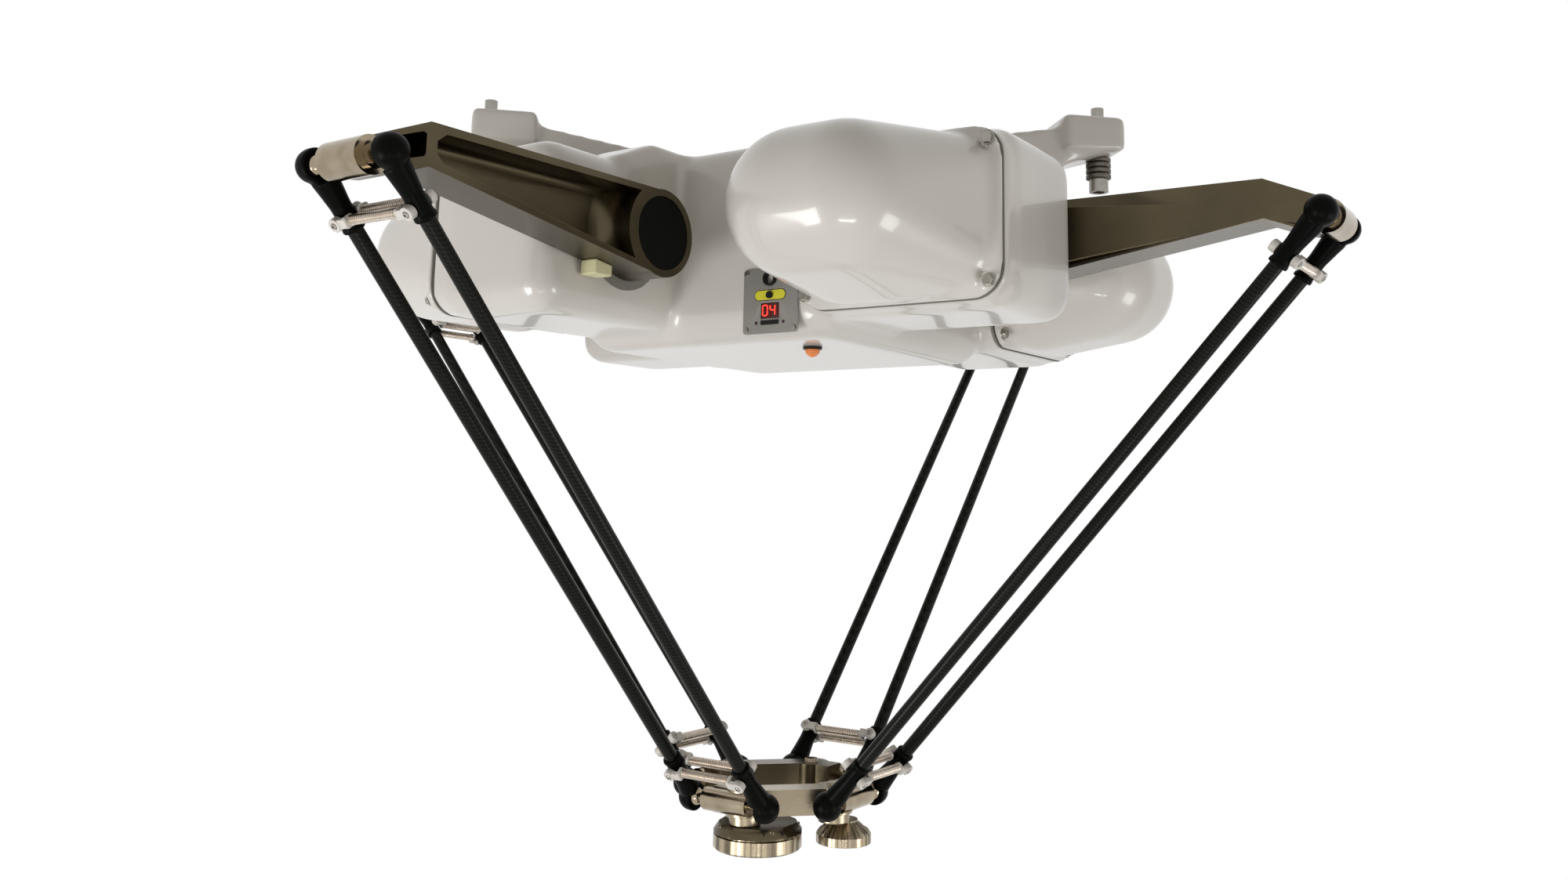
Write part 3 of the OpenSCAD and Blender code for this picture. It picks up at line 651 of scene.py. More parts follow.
def add_box(shape, low, high, place=Matrix(), corner=0.0, along=2, edge=0.0):
    """Box with the four edges along one axis rounded by corner, or all twelve by edge"""
    low, high = Vector(low), Vector(high)
    size = high - low
    middle = place @ Matrix.Translation((low + high) / 2) @ Matrix.Diagonal((*size, 1))
    made = bmesh.ops.create_cube(shape, size=1.0, matrix=middle)
    edges = {line for vert in made["verts"] for line in vert.link_edges}
    if corner:
        axis = place.to_3x3() @ Vector([1.0 if i == along else 0.0 for i in range(3)])
        edges = [line for line in edges
                 if abs((line.verts[0].co - line.verts[1].co).normalized().dot(axis)) > ALIGNED]
    if corner or edge:
        bmesh.ops.bevel(shape, geom=list(edges), offset=corner or edge, offset_type="OFFSET",
                        segments=ROUND_STEPS, profile=0.5, affect="EDGES", material=-1)


def add_plate(shape, outline, low, high, place):
    """Plate of an outline in X-Z, thick from low to high along Y"""
    verts = [shape.verts.new(place @ Vector((x, low, z))) for x, z in outline]
    face = shape.faces.new(verts)
    moved = bmesh.ops.extrude_face_region(shape, geom=[face])
    push = place.to_3x3() @ Vector((0, high - low, 0))
    tops = [item for item in moved["geom"] if isinstance(item, bmesh.types.BMVert)]
    bmesh.ops.translate(shape, verts=tops, vec=push)


def add_turned(shape, profile, place, steps=40):
    """Profile of (radius, height) pairs turned about Z"""
    verts = [shape.verts.new(place @ Vector((radius, 0, height))) for radius, height in profile]
    edges = [shape.edges.new(pair) for pair in zip(verts, verts[1:])]
    axis = place.to_3x3() @ Vector((0, 0, 1))
    bmesh.ops.spin(shape, geom=verts + edges, cent=place.translation, axis=axis, dvec=(0, 0, 0),
                   angle=2 * math.pi, steps=steps, use_merge=True)
    bmesh.ops.remove_doubles(shape, verts=shape.verts, dist=DOUBLES / 2)


def fused(shape, voxel, rounds):
    """One skin over overlapping solids, smoothed so that they meet in fillets"""
    mesh = bpy.data.meshes.new("casting_form")
    bmesh.ops.recalc_face_normals(shape, faces=shape.faces)
    shape.to_mesh(mesh)
    shape.free()
    form = bpy.data.objects.new("casting_form", mesh)
    bpy.context.scene.collection.objects.link(form)
    remesh = form.modifiers.new("skin", "REMESH")
    remesh.mode = "VOXEL"
    remesh.voxel_size = voxel
    remesh.adaptivity = 0.0
    graph = bpy.context.evaluated_depsgraph_get()
    skin = bpy.data.meshes.new_from_object(form.evaluated_get(graph))
    bpy.data.objects.remove(form)
    result = bmesh.new()
    result.from_mesh(skin)
    bpy.data.meshes.remove(skin)
    for _ in range(rounds):
        bmesh.ops.smooth_vert(result, verts=result.verts, factor=0.5, use_axis_x=True, use_axis_y=True,
                              use_axis_z=True)
    return result


# ---------- casting and covers ----------
BLOCK_FACE = 30 * MM          # block's inner face from the arm's middle plane
SEAT_FACE = 202 * MM
BLOCK_HALF = 121 * MM
BLOCK_HIGH = 92 * MM
BODY_HALF = 185 * MM
BODY_TOP = 120 * MM
BODY_LOW = -108 * MM
SEAT_HALF = (119 * MM, 88 * MM)
COVER_BOLT = (106 * MM, 70 * MM)
LID_HALF = 147 * MM
COVER_LENGTH = 188 * MM
COVER_OFF = 14 * MM           # cover's middle, inwards from the shoulder axis
DOME_RADIUS = 75 * MM
DOME_HALF = 25 * MM           # half the distance between the round end's two spheres
BELLY_RADIUS = 87 * MM
BELLY_AT = 28 * MM            # seat to the widest place
FOOT_RADIUS = 44 * MM
FOOT_INSET = (12 * MM, 8 * MM)        # seat's edge to a cover's foot, along and up
BODY_ROUND = 34 * MM
BLOCK_ROUND = 30 * MM
SEAT_ROUND = 34 * MM
SEAT_DEEP = 38 * MM
BRIDGE_IN = 30 * MM           # bridge from the body to a block: its ends from the body's wall
BRIDGE_BEND = 43 * MM
BRIDGE_OUT = 98 * MM
BRIDGE_DEEP = 90 * MM
WEB_RUN = 190 * MM            # web's root to the near side of its pad
WEB_ROOT = 60 * MM
WEB_HALF = 30 * MM
WEB_RISE = 32 * MM            # web's root above the body's top
WEB_LOW = 44 * MM             # bend in its underside, below the body's top
WEB_BEND = 120 * MM
LID_SINK = 7 * MM             # depth of the lid's recess
LID_BAND = (5 * MM, 3 * MM)   # points this far below and above the body's top belong to it
SPOT_FACE = 10.5 * MM         # radius of the flat round a cover's bolt
CASTING_ROUNDS = 8            # rounds of smoothing, which set the size of the fillets
COVER_ROUNDS = 10


def casting_form():
    """Body, blocks with raised seats, bridges, and three pads on webs, all overlapping"""
    values = sizes()
    shape = bmesh.new()
    drop = SHOULDER.z
    add_box(shape, (-BODY_HALF, -BODY_HALF, drop + BODY_LOW), (BODY_HALF, BODY_HALF, drop + BODY_TOP),
            edge=BODY_ROUND)
    for k in range(4):
        place = arm_place(k)
        add_box(shape, (-BLOCK_HALF, -SEAT_FACE + 2 * MM, -BLOCK_HIGH),
                (BLOCK_HALF, -BLOCK_FACE, BLOCK_HIGH), place, edge=BLOCK_ROUND)
        add_box(shape, (-SEAT_HALF[0], -SEAT_FACE, -SEAT_HALF[1]),
                (SEAT_HALF[0], -SEAT_FACE + SEAT_DEEP, SEAT_HALF[1]), place, corner=SEAT_ROUND, along=1)
        wall = BODY_HALF - SHOULDER.x
        add_plate(shape, [(wall - BRIDGE_IN, 0), (wall - BRIDGE_IN, BODY_TOP - MM),
                          (wall + BRIDGE_BEND, BODY_TOP - MM), (wall + BRIDGE_OUT, BLOCK_HIGH + 2 * MM),
                          (wall + BRIDGE_OUT, 0)], -BLOCK_FACE - BRIDGE_DEEP, -BLOCK_FACE, place)
    half = values.pad_side / 2
    under = -drop - values.pad_thick
    foot = WEB_RUN + half
    for k in PAD_ARMS:
        place = pad_place(k)
        add_box(shape, (-half, -half, -values.pad_thick), (half, half, 0), place, edge=3 * MM)
        add_plate(shape, [(0, WEB_ROOT), (0, BODY_TOP + WEB_RISE), (WEB_RUN, under + 30 * MM),
                          (foot + 20 * MM, under + 10 * MM), (foot + 20 * MM, under),
                          (foot - 30 * MM, under - 16 * MM), (WEB_BEND, BODY_TOP - WEB_LOW),
                          (WEB_ROOT, WEB_ROOT)],
                  -WEB_HALF, WEB_HALF, place @ shift(-foot, 0, drop))
    return shape


class ROBOT_OT_casting(bpy.types.Operator):
    """Cast base with filleted blocks, pads and webs"""

    bl_idname = "robot.casting"
    bl_label = "Base casting"

    def execute(self, context):
        grain = sizes().casting_grain
        skin = fused(casting_form(), grain, CASTING_ROUNDS)
        top = SHOULDER.z + BODY_TOP
        for vert in skin.verts:
            out = max(abs(vert.co.x), abs(vert.co.y))
            if out < LID_HALF and top - LID_BAND[0] < vert.co.z < top + LID_BAND[1]:
                vert.co.z -= LID_SINK
        keep_inside_box(skin, "base_casting")
        new_piece("casting_painted", skin, look_of("base_casting"), body_of("base_casting"), ["base_casting"])
        return {"FINISHED"}


def keep_inside_box(shape, node):
    """Pulls the few points that a skin adds outside a node's box back to it"""
    low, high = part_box(node)
    for vert in shape.verts:
        for axis in range(3):
            vert.co[axis] = min(max(vert.co[axis], low[axis]), high[axis])


def add_hull(shape, points, place):
    """Adds the convex hull of a bmesh's points and frees that bmesh"""
    hull = bmesh.ops.convex_hull(points, input=points.verts)
    spare = [item for item in hull["geom_interior"] + hull["geom_unused"]
             if isinstance(item, bmesh.types.BMVert)]
    bmesh.ops.delete(points, geom=list(set(spare)), context="VERTS")
    bmesh.ops.transform(points, matrix=place, verts=points.verts)
    absorb(shape, points)


def add_foot(points, low, high, radius, top):
    """Four rounds at the corners of a cover's foot"""
    along, up = (half - inset - FOOT_RADIUS for half, inset in zip(SEAT_HALF, FOOT_INSET))
    for x in SIDES:
        for z in SIDES:
            add_cone(points, low, high, radius, top, shift(x * along, 0, z * up) @ ALONG_Y, segments=48)


def cover_form(k):
    """Foot, belly and round end, a skirt that fillets onto the flange, and the flange"""
    place = arm_place(k)
    values = sizes()
    seat = -SEAT_FACE - values.gasket
    flange = seat - values.cover_flange
    shape = bmesh.new()
    bulb = bmesh.new()
    add_foot(bulb, flange - 3 * MM, flange + 4 * MM, FOOT_RADIUS, FOOT_RADIUS)
    for x in SIDES:
        across = x * DOME_HALF - COVER_OFF
        add_cone(bulb, seat - BELLY_AT - 10 * MM, seat - BELLY_AT, BELLY_RADIUS,
                 place=shift(across, 0, 0) @ ALONG_Y, segments=96)
        add_ball(bulb, DOME_RADIUS, shift(across, seat - COVER_LENGTH + DOME_RADIUS, 0) @ ALONG_Y, rings=40)
    add_hull(shape, bulb, place)
    skirt = bmesh.new()
    add_foot(skirt, flange - 8 * MM, flange + MM, FOOT_RADIUS - 2 * MM, FOOT_RADIUS + 5 * MM)
    add_hull(shape, skirt, place)
    add_box(shape, (-SEAT_HALF[0] + MM, flange, -SEAT_HALF[1] + MM),
            (SEAT_HALF[0] - MM, seat, SEAT_HALF[1] - MM), place, corner=SEAT_ROUND - MM, along=1)
    return shape


class ROBOT_OT_covers(bpy.types.Operator):
    """Bulb-shaped motor covers with a filleted flange"""

    bl_idname = "robot.covers"
    bl_label = "Motor covers"

    def execute(self, context):
        values = sizes()
        grain = values.cover_grain
        seat = -SEAT_FACE - values.gasket
        for k, arm in enumerate(ARMS):
            skin = fused(cover_form(k), grain, COVER_ROUNDS)
            place = arm_place(k)
            inverse = place.inverted()
            for vert in skin.verts:
                spot = inverse @ vert.co
                near = min(math.hypot(spot.x - x * COVER_BOLT[0], spot.z - z * COVER_BOLT[1])
                           for x in SIDES for z in SIDES)
                if near < SPOT_FACE and spot.y < seat - 4 * MM:
                    spot.y = seat - values.cover_flange
                    vert.co = place @ spot
            name = f"motor_cover_{arm}"
            keep_inside_box(skin, name)
            new_piece(name + "_painted", skin, look_of(name), body_of(name), [name])
        return {"FINISHED"}


# ---------- arm pockets ----------
ARM_FLOOR = -10 * MM          # pocket's floor from the arm's middle plane
POCKET_START = 20 * MM
POCKET_END = 299 * MM
POCKET_TOP = (40 * MM, 36 * MM)   # height of the pocket's upper wall at its start and end
POCKET_LOW = (-38 * MM, 9 * MM)   # and of its lower wall
HUB_WALL = 54 * MM
HUB_SIDE = 0.6                # a wall's fillet starts this share of HUB_WALL past the pocket's start
HUB_COVE = 24 * MM
WALL_COVE = 9 * MM
COVE_STEPS = 10
SUNK = 0.6 * MM               # how far a cove reaches into the wall and the floor
SEAT_RADIUS = 17.3 * MM       # ground seat of a ball bar
SEAT_REACH = 26.2 * MM


def cove_section(radius):
    """Points (away from the wall, above the floor) of a hollow fillet with its back sunk"""
    angles = [math.pi / 2 * i / COVE_STEPS for i in range(COVE_STEPS + 1)]
    arc = [(radius * (1 - math.cos(angle)), radius * (1 - math.sin(angle))) for angle in angles]
    return [(-SUNK, -SUNK), (-SUNK, radius)] + arc + [(radius, -SUNK)]


def add_wall_cove(shape, heights, inward, place):
    """Fillet between the pocket's floor and its upper or lower wall"""
    rings = []
    for x, height in zip((POCKET_START + HUB_WALL * HUB_SIDE, POCKET_END), heights):
        rings.append([shape.verts.new(place @ Vector((x, ARM_FLOOR + up, height + inward * out)))
                      for out, up in cove_section(WALL_COVE)])
    count = len(rings[0])
    for i in range(count):
        j = (i + 1) % count
        shape.faces.new((rings[0][i], rings[0][j], rings[1][j], rings[1][i]))
    shape.faces.new(rings[0])
    shape.faces.new(rings[1])


def add_hub_cove(shape, place):
    """Hollow fillet round the hub, cut off at the pocket's walls"""
    ring = bmesh.new()
    add_turned(ring, [(HUB_WALL + out, ARM_FLOOR + up) for out, up in cove_section(HUB_COVE)]
               + [(HUB_WALL - SUNK, ARM_FLOOR - SUNK)], ALONG_Y, steps=96)
    run = POCKET_END - POCKET_START
    cuts = [((POCKET_START, 0, 0), (-1, 0, 0)),
            ((POCKET_START, 0, POCKET_TOP[0] + SUNK), (POCKET_TOP[0] - POCKET_TOP[1], 0, run)),
            ((POCKET_START, 0, POCKET_LOW[0] - SUNK), (POCKET_LOW[1] - POCKET_LOW[0], 0, -run))]
    for spot, normal in cuts:
        slice_off(ring, spot, normal)
    bmesh.ops.transform(ring, matrix=place, verts=ring.verts)
    absorb(shape, ring)


class ROBOT_OT_coves(bpy.types.Operator):
    """Hollow fillets in the inner arms' pockets and the ground seats of their ball bars"""

    bl_idname = "robot.coves"
    bl_label = "Pocket fillets"

    def execute(self, context):
        for k, arm in enumerate(ARMS):
            place = arm_place(k)
            shape = bmesh.new()
            add_hub_cove(shape, place)
            add_wall_cove(shape, POCKET_TOP, -1, place)
            add_wall_cove(shape, POCKET_LOW, 1, place)
            name = f"inner_arm_{arm}"
            new_piece(name + "_coves", shape, look_of(name), body_of(name))
            seat = bmesh.new()
            add_cone(seat, -SEAT_REACH, SEAT_REACH, SEAT_RADIUS, place=place @ shift(ELBOW, 0, 0) @ ALONG_Y,
                     segments=64)
            new_piece(f"bar_seat_{arm}", seat, look_of("ball_bar"), body_of(name))
        return {"FINISHED"}


# ---------- rods, springs and links ----------
FORK_REACH = 15 * MM          # rod's middle to the start of a spring
FORK_SEAT = 0.2 * MM          # gap between a rod end's neck and a fork
BALL_GAP = 0.3 * MM           # between a ball and its socket
SPRING_TURNS = 26
SPRING_STEPS = 14             # facets in one turn
END_ROUNDS = 5
CUP_RIM = -2.0 * MM           # socket's rim, past the ball's middle
NECK_ROOT = 12.5 * MM
# Profiles of (radius, height) in millimetres
FORK_EYE = ((0, 0), (6.2, 0), (6.6, 0.6), (6.6, 6.6), (6.0, 7.2), (3.4, 7.2), (3.2, 6.2), (0, 6.2))
FORK_PLUG = ((0, 12), (5.4, 12), (5.6, 15), (4.0, 15.6), (3.9, 22), (0, 22))
PIVOT_SCREW = ((0, 4), (3.1, 4), (3.1, 7.6), (2.4, 8.4), (1.1, 8.5), (1.0, 7.2), (0, 7.0))


def level_heights():
    """Heights of the two pairs of springs along a rod, from the elbow ball"""
    values = sizes()
    return (-values.spring_at, -values.rod_length + values.spring_at)


def add_rod_end(shape, place, side):
    """Moulded socket that opens towards its pair's middle, with a tapered neck along -Z"""
    values = sizes()
    cup = place @ Matrix.Rotation(-side * math.pi / 2, 4, "X")
    outer = values.socket
    inner = values.ball + BALL_GAP
    mouth = [(inner * math.cos(a), -inner * math.sin(a)) for a in map(math.radians, (20, 10, 0))]
    bowl = [(inner * math.cos(a), inner * math.sin(a)) for a in map(math.radians, range(15, 90, 15))]
    back = [(outer * math.sin(a), 3 * MM + outer * math.cos(a)) for a in map(math.radians, range(0, 90, 12))]
    rim = [(outer, CUP_RIM), (outer - 0.8 * MM, CUP_RIM - 1.4 * MM),
           (mouth[0][0] + 0.8 * MM, CUP_RIM - 1.6 * MM)]
    add_turned(shape, back + rim + mouth + bowl + [(0, inner)], cup, steps=48)
    root = -values.ball - 3 * MM
    collar = values.neck + MM
    tip = -values.end_length
    neck = [(0, root), (NECK_ROOT, root), (11.2 * MM, -24 * MM), (values.neck, -40 * MM),
            (values.neck, tip + 5 * MM), (collar, tip + 4.6 * MM), (collar, tip + 0.6 * MM),
            (values.neck + 0.4 * MM, tip), (0, tip)]
    add_turned(shape, neck, place)


class ROBOT_OT_rod_ends(bpy.types.Operator):
    """Black moulded sockets and necks"""

    bl_idname = "robot.rod_ends"
    bl_label = "Rod ends"

    def execute(self, context):
        values = sizes()
        flip = Matrix.Rotation(math.pi, 4, "X")
        for k, arm in enumerate(ARMS):
            shape = bmesh.new()
            for side in SIDES:
                place = rod_place(k, side)
                add_rod_end(shape, place, side)
                add_rod_end(shape, place @ shift(0, 0, -values.rod_length) @ flip, -side)
            skin = fused(shape, values.end_grain, END_ROUNDS)
            name = f"rod_ends_{arm}"
            new_piece(name + "_moulded", skin, look_of(name), body_of(name), [name])
        return {"FINISHED"}


def add_spring(shape, place, length):
    """Close-wound spring along Y, centred on the place"""
    values = sizes()
    spot = place @ shift(values.spring - values.wire, -length / 2, 0)
    bar = bmesh.ops.create_circle(shape, cap_ends=False, segments=6, radius=values.wire, matrix=spot)
    ring = bar["verts"]
    loop = list({edge for vert in ring for edge in vert.link_edges})
    axis = place.to_3x3() @ Vector((0, 1, 0))
    steps = SPRING_TURNS * SPRING_STEPS
    bmesh.ops.spin(shape, geom=ring + loop, cent=place.translation, axis=axis, dvec=axis * (length / steps),
                   angle=2 * math.pi * SPRING_TURNS, steps=steps, use_merge=False)


class ROBOT_OT_springs(bpy.types.Operator):
    """Wound springs that hold each pair of rods to its balls"""

    bl_idname = "robot.springs"
    bl_label = "Rod springs"

    def execute(self, context):
        values = sizes()
        length = values.ball_span - 2 * FORK_REACH
        for k, arm in enumerate(ARMS):
            shape = bmesh.new()
            for height in level_heights():
                for front in SIDES:
                    middle = rod_place(k, 1) @ shift(front * values.spring_off, -values.ball_span / 2, height)
                    add_spring(shape, middle, length)
            bmesh.ops.holes_fill(shape, edges=[e for e in shape.edges if e.is_boundary])
            name = f"rod_springs_{arm}"
            new_piece(name + "_wound", shape, look_of(name), body_of(name), [name])
        return {"FINISHED"}


def add_link(shape, place, inward):
    """Nylon fork: a round eye on the neck, a flat arm and a plug in the spring; X is the pivot"""
    values = sizes()
    eye = place @ Matrix.Rotation(math.pi / 2, 4, "Y")
    add_turned(shape, in_mm(FORK_EYE), eye)
    low, high = sorted((inward * 2 * MM, inward * 15 * MM))
    add_box(shape, (0.8 * MM, low, -4.6 * MM), (6.4 * MM, high, 4.6 * MM), place, edge=1.2 * MM)
    sunk = values.spring_off - values.neck - FORK_SEAT
    low, high = sorted((inward * 11.2 * MM, inward * 15.4 * MM))
    add_box(shape, (sunk - 4 * MM, low, -5.4 * MM), (5.6 * MM, high, 5.4 * MM), place, edge=1.4 * MM)
    reach = place @ shift(sunk, 0, 0) @ (ALONG_Y if inward > 0 else ALONG_Y.inverted())
    add_turned(shape, in_mm(FORK_PLUG), reach, steps=28)


class ROBOT_OT_links(bpy.types.Operator):
    """White nylon forks and their pivot screws"""

    bl_idname = "robot.links"
    bl_label = "Spring links"

    def execute(self, context):
        values = sizes()
        for k, arm in enumerate(ARMS):
            nylon = bmesh.new()
            screws = bmesh.new()
            for height in level_heights():
                for front in SIDES:
                    for side in SIDES:
                        spot = rod_place(k, side) @ shift(0, 0, height)
                        if front < 0:
                            spot = spot @ Matrix.Rotation(math.pi, 4, "Z")
                        spot = spot @ shift(values.neck + FORK_SEAT, 0, 0)
                        add_link(nylon, spot, -side * front)
                        head = spot @ Matrix.Rotation(math.pi / 2, 4, "Y")
                        add_turned(screws, in_mm(PIVOT_SCREW), head, steps=20)
            name = f"spring_links_{arm}"
            new_piece(name + "_forks", nylon, look_of(name), body_of(name), [name])
            new_piece(name + "_screws", screws, material("steel", steel_look, "stainless"), body_of(name))
        return {"FINISHED"}


# ---------- platform ----------
RIM_DOWN = 2.4 * MM           # how far the flange's rim edge lies below the plain form's
CONE_UP = 2.6 * MM            # and the cone's upper end above it
RIM_BAND = (11 * MM, 13 * MM)         # heights between which the plain form's rim edge lies
CONE_BAND = (19.4 * MM, 21.6 * MM)    # and its cone's end
BOSS_RADIUS = 15 * MM         # recess under the disc
BOSS_DEEP = 8 * MM
SEAM = 16.4 * MM              # top of the disc's body
SEAM_TOP = 17.2 * MM          # top of the step under the clamp plate
CLAMP_EDGE = 20.6 * MM        # where the clamp plate's slope starts
FLATS = (20, 95, 160, 215, 285)       # directions of the clamp plate's flats
FLAT_AT = (45 * MM, 21 * MM)          # a flat's distance from the axis, and its height
SCREWS = (57, 128, 188, 250, 330)
SCREW_OUT = 44 * MM


class ROBOT_OT_platform_detail(bpy.types.Operator):
    """Drive disc with its clamp plate and screws, and the tool flange's long cone"""

    bl_idname = "robot.platform_detail"
    bl_label = "Disc and flange"

    def execute(self, context):
        low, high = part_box("drive_disc")
        radius = (high.x - low.x) / 2
        centre = shift((low.x + high.x) / 2, (low.y + high.y) / 2, low.z)
        tall = high.z - low.z
        body = bmesh.new()
        step = radius - 2 * MM
        add_turned(body, [(0, BOSS_DEEP), (BOSS_RADIUS, BOSS_DEEP), (BOSS_RADIUS, 0), (step, 0),
                          (radius, 2 * MM), (radius, SEAM - MM), (radius - 1.4 * MM, SEAM),
                          (0, SEAM)], centre, steps=96)
        add_turned(body, [(0, 16 * MM), (step, 16 * MM), (step, SEAM_TOP), (0, SEAM_TOP)], centre, steps=96)
        new_piece("drive_disc_turned", body, look_of("drive_disc"), body_of("drive_disc"), ["drive_disc"])
        plate = bmesh.new()
        add_turned(plate, [(0, 17 * MM), (radius, 17 * MM), (radius, CLAMP_EDGE), (radius - 6 * MM, tall),
                           (0, tall)], centre, steps=96)
        for angle in map(math.radians, FLATS):
            spot = centre @ Vector((math.cos(angle) * FLAT_AT[0], math.sin(angle) * FLAT_AT[0], FLAT_AT[1]))
            slice_off(plate, spot, (math.cos(angle), math.sin(angle), 0.5))
        for angle in map(math.radians, SCREWS):
            add_cone(plate, 20 * MM, 26 * MM, 4 * MM, 3.6 * MM,
                     centre @ shift(math.cos(angle) * SCREW_OUT, math.sin(angle) * SCREW_OUT, 0), segments=20)
        new_piece("drive_disc_clamp", plate, look_of("rear_bar"), body_of("drive_disc"))
        flange = eased_copy("tool_flange", 0.5 * MM)
        low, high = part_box("tool_flange")
        for vert in flange.verts:
            rise = vert.co.z - low.z
            if RIM_BAND[0] < rise < RIM_BAND[1]:
                vert.co.z -= RIM_DOWN
            elif CONE_BAND[0] < rise < CONE_BAND[1]:
                vert.co.z += CONE_UP
        new_piece("tool_flange_finished", flange, look_of("tool_flange"), body_of("tool_flange"),
                  ["tool_flange"], smooth=EASED_SMOOTH)
        return {"FINISHED"}


# ---------- status panel ----------
SEGMENTS = {  # place of each lit bar of a digit: middle x, middle y, lies flat
    "a": (0, 1, True), "b": (0.5, 0.5, False), "c": (0.5, -0.5, False), "d": (0, -1, True),
    "e": (-0.5, -0.5, False), "f": (-0.5, 0.5, False), "g": (0, 0, True)}
DIGITS = ("abcdef", "bcfg")
DIGITS_AT = (-5 * MM, 5 * MM)         # middles of the digits, across the panel
DIGIT_LOW = -11 * MM          # their height from the panel's centre
DIGIT_SIZE = (6.2 * MM, 5.6 * MM)
GLASS = 5.0 * MM              # the display window's face above the wall
LONG_BAR = 2.4 * MM
THIN_BAR = 0.6 * MM
UNDER_FILM = 2.8 * MM         # height above the wall at which films and borders start


def glow_look(shader):
    """Lit display bars"""
    colour = finish().display
    grain = shader.noise(300.0, 1.0)
    shader.set(Base_Color=shader.mix(grain, tinted(colour, 0.8), colour), Roughness=0.4,
               Emission_Color=colour, Emission_Strength=1.6)


def label_look(shader):
    """Yellow label film"""
    grain = shader.noise(200.0, 2.0)
    shader.set(Base_Color=shader.mix(grain, (0.66, 0.62, 0.03), (0.78, 0.74, 0.06)), Roughness=0.4)


class ROBOT_OT_panel_detail(bpy.types.Operator):
    """Display digits, label and caption strip"""

    bl_idname = "robot.panel_detail"
    bl_label = "Status panel"

    def execute(self, context):
        place = panel_place()
        lit = bmesh.new()
        for digit, middle in zip(DIGITS, DIGITS_AT):
            for bar in digit:
                x, y, flat = SEGMENTS[bar]
                wide, tall = (LONG_BAR, THIN_BAR) if flat else (THIN_BAR, LONG_BAR)
                spot = place @ shift(middle + x * DIGIT_SIZE[0], DIGIT_LOW + y * DIGIT_SIZE[1], GLASS)
                add_box(lit, (-wide, -tall, -0.2 * MM), (wide, tall, 0.4 * MM), spot)
        new_piece("display_bars", lit, material("glow", glow_look, "display_red"), "base")
        label = bmesh.new()
        add_box(label, (-20 * MM, 0.8 * MM, UNDER_FILM), (20 * MM, 11.2 * MM, 3.5 * MM), place,
                corner=5.1 * MM)
        new_piece("brake_label", label, material("label", label_look, "panel_grey"), "base")
        border = bmesh.new()
        add_box(border, (-20.8 * MM, 0, UNDER_FILM), (20.8 * MM, 12 * MM, 3.2 * MM), place, corner=5.9 * MM)
        add_box(border, (-12 * MM, -26.5 * MM, UNDER_FILM), (12 * MM, -21.5 * MM, 3.4 * MM), place,
                corner=MM)
        new_piece("label_border", border, material("black", black_look, "black_plastic"), "base")
        return {"FINISHED"}


# ---------- lamp ----------
LENS_STEPS = 24
RIB_DEEP = 0.035              # depth of a groove, as a share of the lens's radius


class ROBOT_OT_lamp(bpy.types.Operator):
    """Ribbed amber lens"""

    bl_idname = "robot.lamp"
    bl_label = "Lamp"

    def execute(self, context):
        low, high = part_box("lamp_lens")
        radius = (high.x - low.x) / 2
        shape = bmesh.new()
        profile = [(0, radius)]
        for i in range(1, LENS_STEPS + 1):
            angle = math.radians(90 * i / LENS_STEPS)
            ripple = radius * (1 - RIB_DEEP * (i % 3 == 0))
            profile.append((ripple * math.sin(angle), ripple * math.cos(angle)))
        profile += [(radius - 1.6 * MM, 0), (0, 0)]
        spot = shift((low.x + high.x) / 2, (low.y + high.y) / 2, high.z) @ Matrix.Rotation(math.pi, 4, "X")
        add_turned(shape, profile, spot)
        new_piece("lamp_lens_ribbed", shape, look_of("lamp_lens"), "base", ["lamp_lens"])
        return {"FINISHED"}


# ---------- operators ----------
EASED = {  # width of the broken edges, in millimetres
    "inner_arm": 1.5, "hub_cap": 0.8, "arm_bumper": 1.6, "front_bar": 0.9, "rear_bar": 0.9,
    "side_links": 0.8, "status_panel": 0.4, "mount_bolts": 0.5, "base_fasteners": 0.35, "disc_springs": 0.3,
}


class ROBOT_OT_materials(bpy.types.Operator):
    """Gives every CAD node its finish"""

    bl_idname = "robot.materials"
    bl_label = "Finishes"

    def execute(self, context):
        for name, node in frame["nodes"].items():
            look = look_of(name)
            node.data.materials.clear()
            node.data.materials.append(look.material)
            for polygon in node.data.polygons:
                polygon.use_smooth = True
        return {"FINISHED"}


class ROBOT_OT_eased(bpy.types.Operator):
    """Breaks the edges of the machined parts"""

    bl_idname = "robot.eased"
    bl_label = "Machined parts"

    def execute(self, context):
        for name in frame["nodes"]:
            width = EASED.get(family(name))
            if width:
                new_piece(name + "_finished", eased_copy(name, width * MM), look_of(name), body_of(name),
                          [name], smooth=EASED_SMOOTH)
        return {"FINISHED"}


class ROBOT_OT_stage(bpy.types.Operator):
    """Floor, world, lamps and camera"""

    bl_idname = "robot.stage"
    bl_label = "Studio"

    def execute(self, context):
        add_floor()
        add_world()
        add_lamps()
        add_camera()
        return {"FINISHED"}


# ---------- studio ----------
FLOOR_HALF = 9
FLOOR_BELOW = 0.75            # floor under the robot's lowest point
FULL_FRAME = 36               # sensor's width in millimetres
FAR = 50


